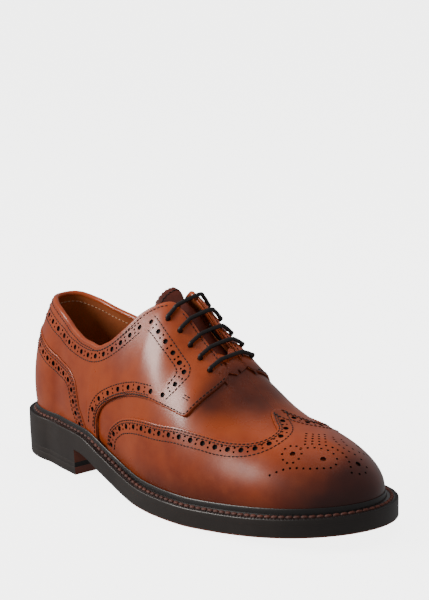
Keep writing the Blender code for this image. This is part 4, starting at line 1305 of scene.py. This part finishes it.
def on_cap(plan):
    """Middle and normal of the cap's surface over points in plan."""
    a, w = np.meshgrid(np.linspace(0.72, 1, 120), np.linspace(0.3, 1.7, 360), indexing="ij")
    surface = last(a, w, TOP).reshape(-1, 3)
    nearest = [np.argmin(((surface[:, :2] - p) ** 2).sum(1)) for p in plan]
    a = a.reshape(-1)[nearest]
    w = w.reshape(-1)[nearest]
    out = frame_at(np.clip(a, 0.001, 0.998), w)[2]
    points = surface[nearest]
    off = plan - points[:, :2]
    points[:, 2] -= (off * out[:, :2]).sum(1) / out[:, 2]
    points[:, :2] = plan
    return points, out


def medallion():
    """Plan points of the toe medallion: large holes, and lines and rings of small ones."""
    small = []
    for count, points in MEDALLION_LINES:
        line = fair(points)
        run = run_of(line)
        marks = np.linspace(0, run[-1], count)
        small.append(np.stack([np.interp(marks, run, line[:, i]) for i in (0, 1)], 1))
    for middle, radius, count in MEDALLION_RINGS:
        turn = np.linspace(0, 2 * np.pi, count, endpoint=False)
        small.append(np.array(middle) + radius * np.stack([np.cos(turn), np.sin(turn)], 1))
    return np.array(MEDALLION_LARGE) / 1000, np.concatenate(small) / 1000


large, small = medallion()
for plan, radius in zip((large, small), MEDALLION_HOLES):
    points, out = on_cap(plan)
    holes["cap"].append((points, out, np.full(len(plan), radius)))

punched = {"cap": cap, "outer": quarter_outer, "inner": quarter_inner, "counter": counter}
for key, piece in punched.items():
    punch(piece, holes[key])
    # Painted shade: a near-black disc behind each hole except the large medallion ones
    for middles, axes, radii in holes[key]:
        blind = radii < MEDALLION_HOLES[0]
        depth = 0.00162 if key == "counter" else 0.00122
        behind = middles[blind] - axes[blind] * depth
        painted_shade.append((behind, axes[blind], radii[blind] * 1.15))
punch(upper, [holes["outer"][-1], holes["inner"][-1]])

# Discs of painted shade behind the holes
middles, axes, radii = (np.concatenate(part) for part in zip(*painted_shade))
rods("hole_painted_shades", middles, axes, radii, np.full(len(radii), 0.00009), 10, 0, [shadow], "calf")
middles = np.concatenate([row[0] for row in thread_rows] + [tongue_stitches[0]])
ways = np.concatenate([row[1] for row in thread_rows] + [tongue_stitches[1]])
rods("stitches", middles, ways, np.full(len(middles), STITCH_RADIUS),
     np.full(len(middles), 0.0010), 6, 5, [thread], "calf")

# Rolled collar edge from one facing round the heel to the other, and the lining's row of stitches
along = np.concatenate([np.linspace(0.478, 0, 260), -np.linspace(0, 0.478, 260)[1:]])
up = np.where(along >= 0, top_edge(-1, np.abs(along)), top_edge(1, np.abs(along)))
roll = last(along, up - 0.004, -0.0001)
tube("collar_roll", roll, COLLAR_ROLL, calf)
inside_row = np.stack([along, up - 0.045], 1)
middles, ways = stitch_rows(inside_row, (0,), LINING_PITCH, LINING_LENGTH, -UPPER_WALL - 0.00012)
rods("lining_stitches", middles, ways, np.full(len(middles), 0.00028),
     np.full(len(middles), 0.0010), 6, 5, [pale_thread], "lining")


def studio():
    """Plain pale floor and large soft lights: over the shoe, beside the camera and from behind."""
    floor = bpy.data.meshes.new("floor")
    size = 12.0
    corners = [(-size, -size, 0), (size, -size, 0), (size, size, 0), (-size, size, 0)]
    floor.from_pydata(corners, [], [(0, 1, 2, 3)])
    ground, shader = shader_of("pale_floor", 0.75)
    shader.inputs["Base Color"].default_value = (0.50, 0.50, 0.495, 1.0)
    shader.inputs["Emission Color"].default_value = (1.0, 1.0, 0.99, 1.0)
    shader.inputs["Emission Strength"].default_value = 4.3
    floor.materials.append(ground)
    plane = bpy.data.objects.new("floor", floor)
    plane.visible_glossy = False
    plane.visible_diffuse = False
    bpy.context.scene.collection.objects.link(plane)
    lights = (
        ("key", (-0.86, -0.98, 0.80), (0.0, 0.0, 0.05), 0.60, 0.60, 24.0, (1.0, 0.95, 0.90), True),
        ("front", (1.20, -0.60, 0.55), (0.06, 0.0, 0.04), 0.5, 0.5, 1.5, (1.0, 0.97, 0.95), False),
        ("over", (-0.1, 0.35, 1.4), (0.0, 0.0, 0.0), 1.0, 0.8, 12.0, (1.0, 1.0, 1.0), False),
    )
    for name, place, aim, wide, tall, power, colour, shines in lights:
        data = bpy.data.lights.new(name, "AREA")
        data.shape = "RECTANGLE"
        data.size = wide
        data.size_y = tall
        data.energy = power
        data.color = colour
        lamp = bpy.data.objects.new(name, data)
        lamp.visible_glossy = shines
        back = unit(np.array(place) - np.array(aim))
        right = unit(np.cross((0.0, 0.0, 1.0), back))
        if abs(back[2]) > 0.98:
            right = np.array((1.0, 0.0, 0.0))
        rise = np.cross(back, right)
        turn = np.stack([right, rise, back], 1)
        lamp.matrix_world = Matrix(np.block([[turn, np.array(place)[:, None]], [0, 0, 0, 1]]).tolist())
        bpy.context.scene.collection.objects.link(lamp)
    world = bpy.data.worlds.new("studio")
    world.use_nodes = True
    world.node_tree.nodes["Background"].inputs["Color"].default_value = (0.95, 0.96, 0.97, 1.0)
    world.node_tree.nodes["Background"].inputs["Strength"].default_value = 0.32
    bpy.context.scene.world = world


def camera():
    """Camera at the photograph's angle, from the fit of the shoe's outlines."""
    azimuth, elevation, roll = np.radians((CAMERA_AZIMUTH, CAMERA_ELEVATION, CAMERA_ROLL))
    right = np.array([np.cos(azimuth), np.sin(azimuth), 0.0])
    level = np.array([-np.sin(azimuth), np.cos(azimuth), 0.0])
    forward = np.cos(elevation) * level - np.array([0.0, 0.0, np.sin(elevation)])
    rise = np.cross(right, forward)
    across = np.cos(roll) * right + np.sin(roll) * rise
    up_way = -np.sin(roll) * right + np.cos(roll) * rise
    aim = np.array([-0.004, -0.001222, 0.050])
    place = aim + 0.014345 * across + 0.06584 * up_way - CAMERA_DISTANCE * forward
    data = bpy.data.cameras.new("camera")
    data.sensor_width = SENSOR_WIDTH_MM
    data.sensor_fit = "AUTO"
    data.lens = CAMERA_FOCAL_PIXELS * SENSOR_WIDTH_MM / PHOTO_HEIGHT_PIXELS
    data.clip_start = 0.05
    data.clip_end = 60.0
    shot = bpy.data.objects.new("camera", data)
    turn = np.stack([across, up_way, -forward], 1)
    shot.matrix_world = Matrix(np.block([[turn, place[:, None]], [0, 0, 0, 1]]).tolist())
    bpy.context.scene.collection.objects.link(shot)
    bpy.context.scene.camera = shot


studio()
camera()
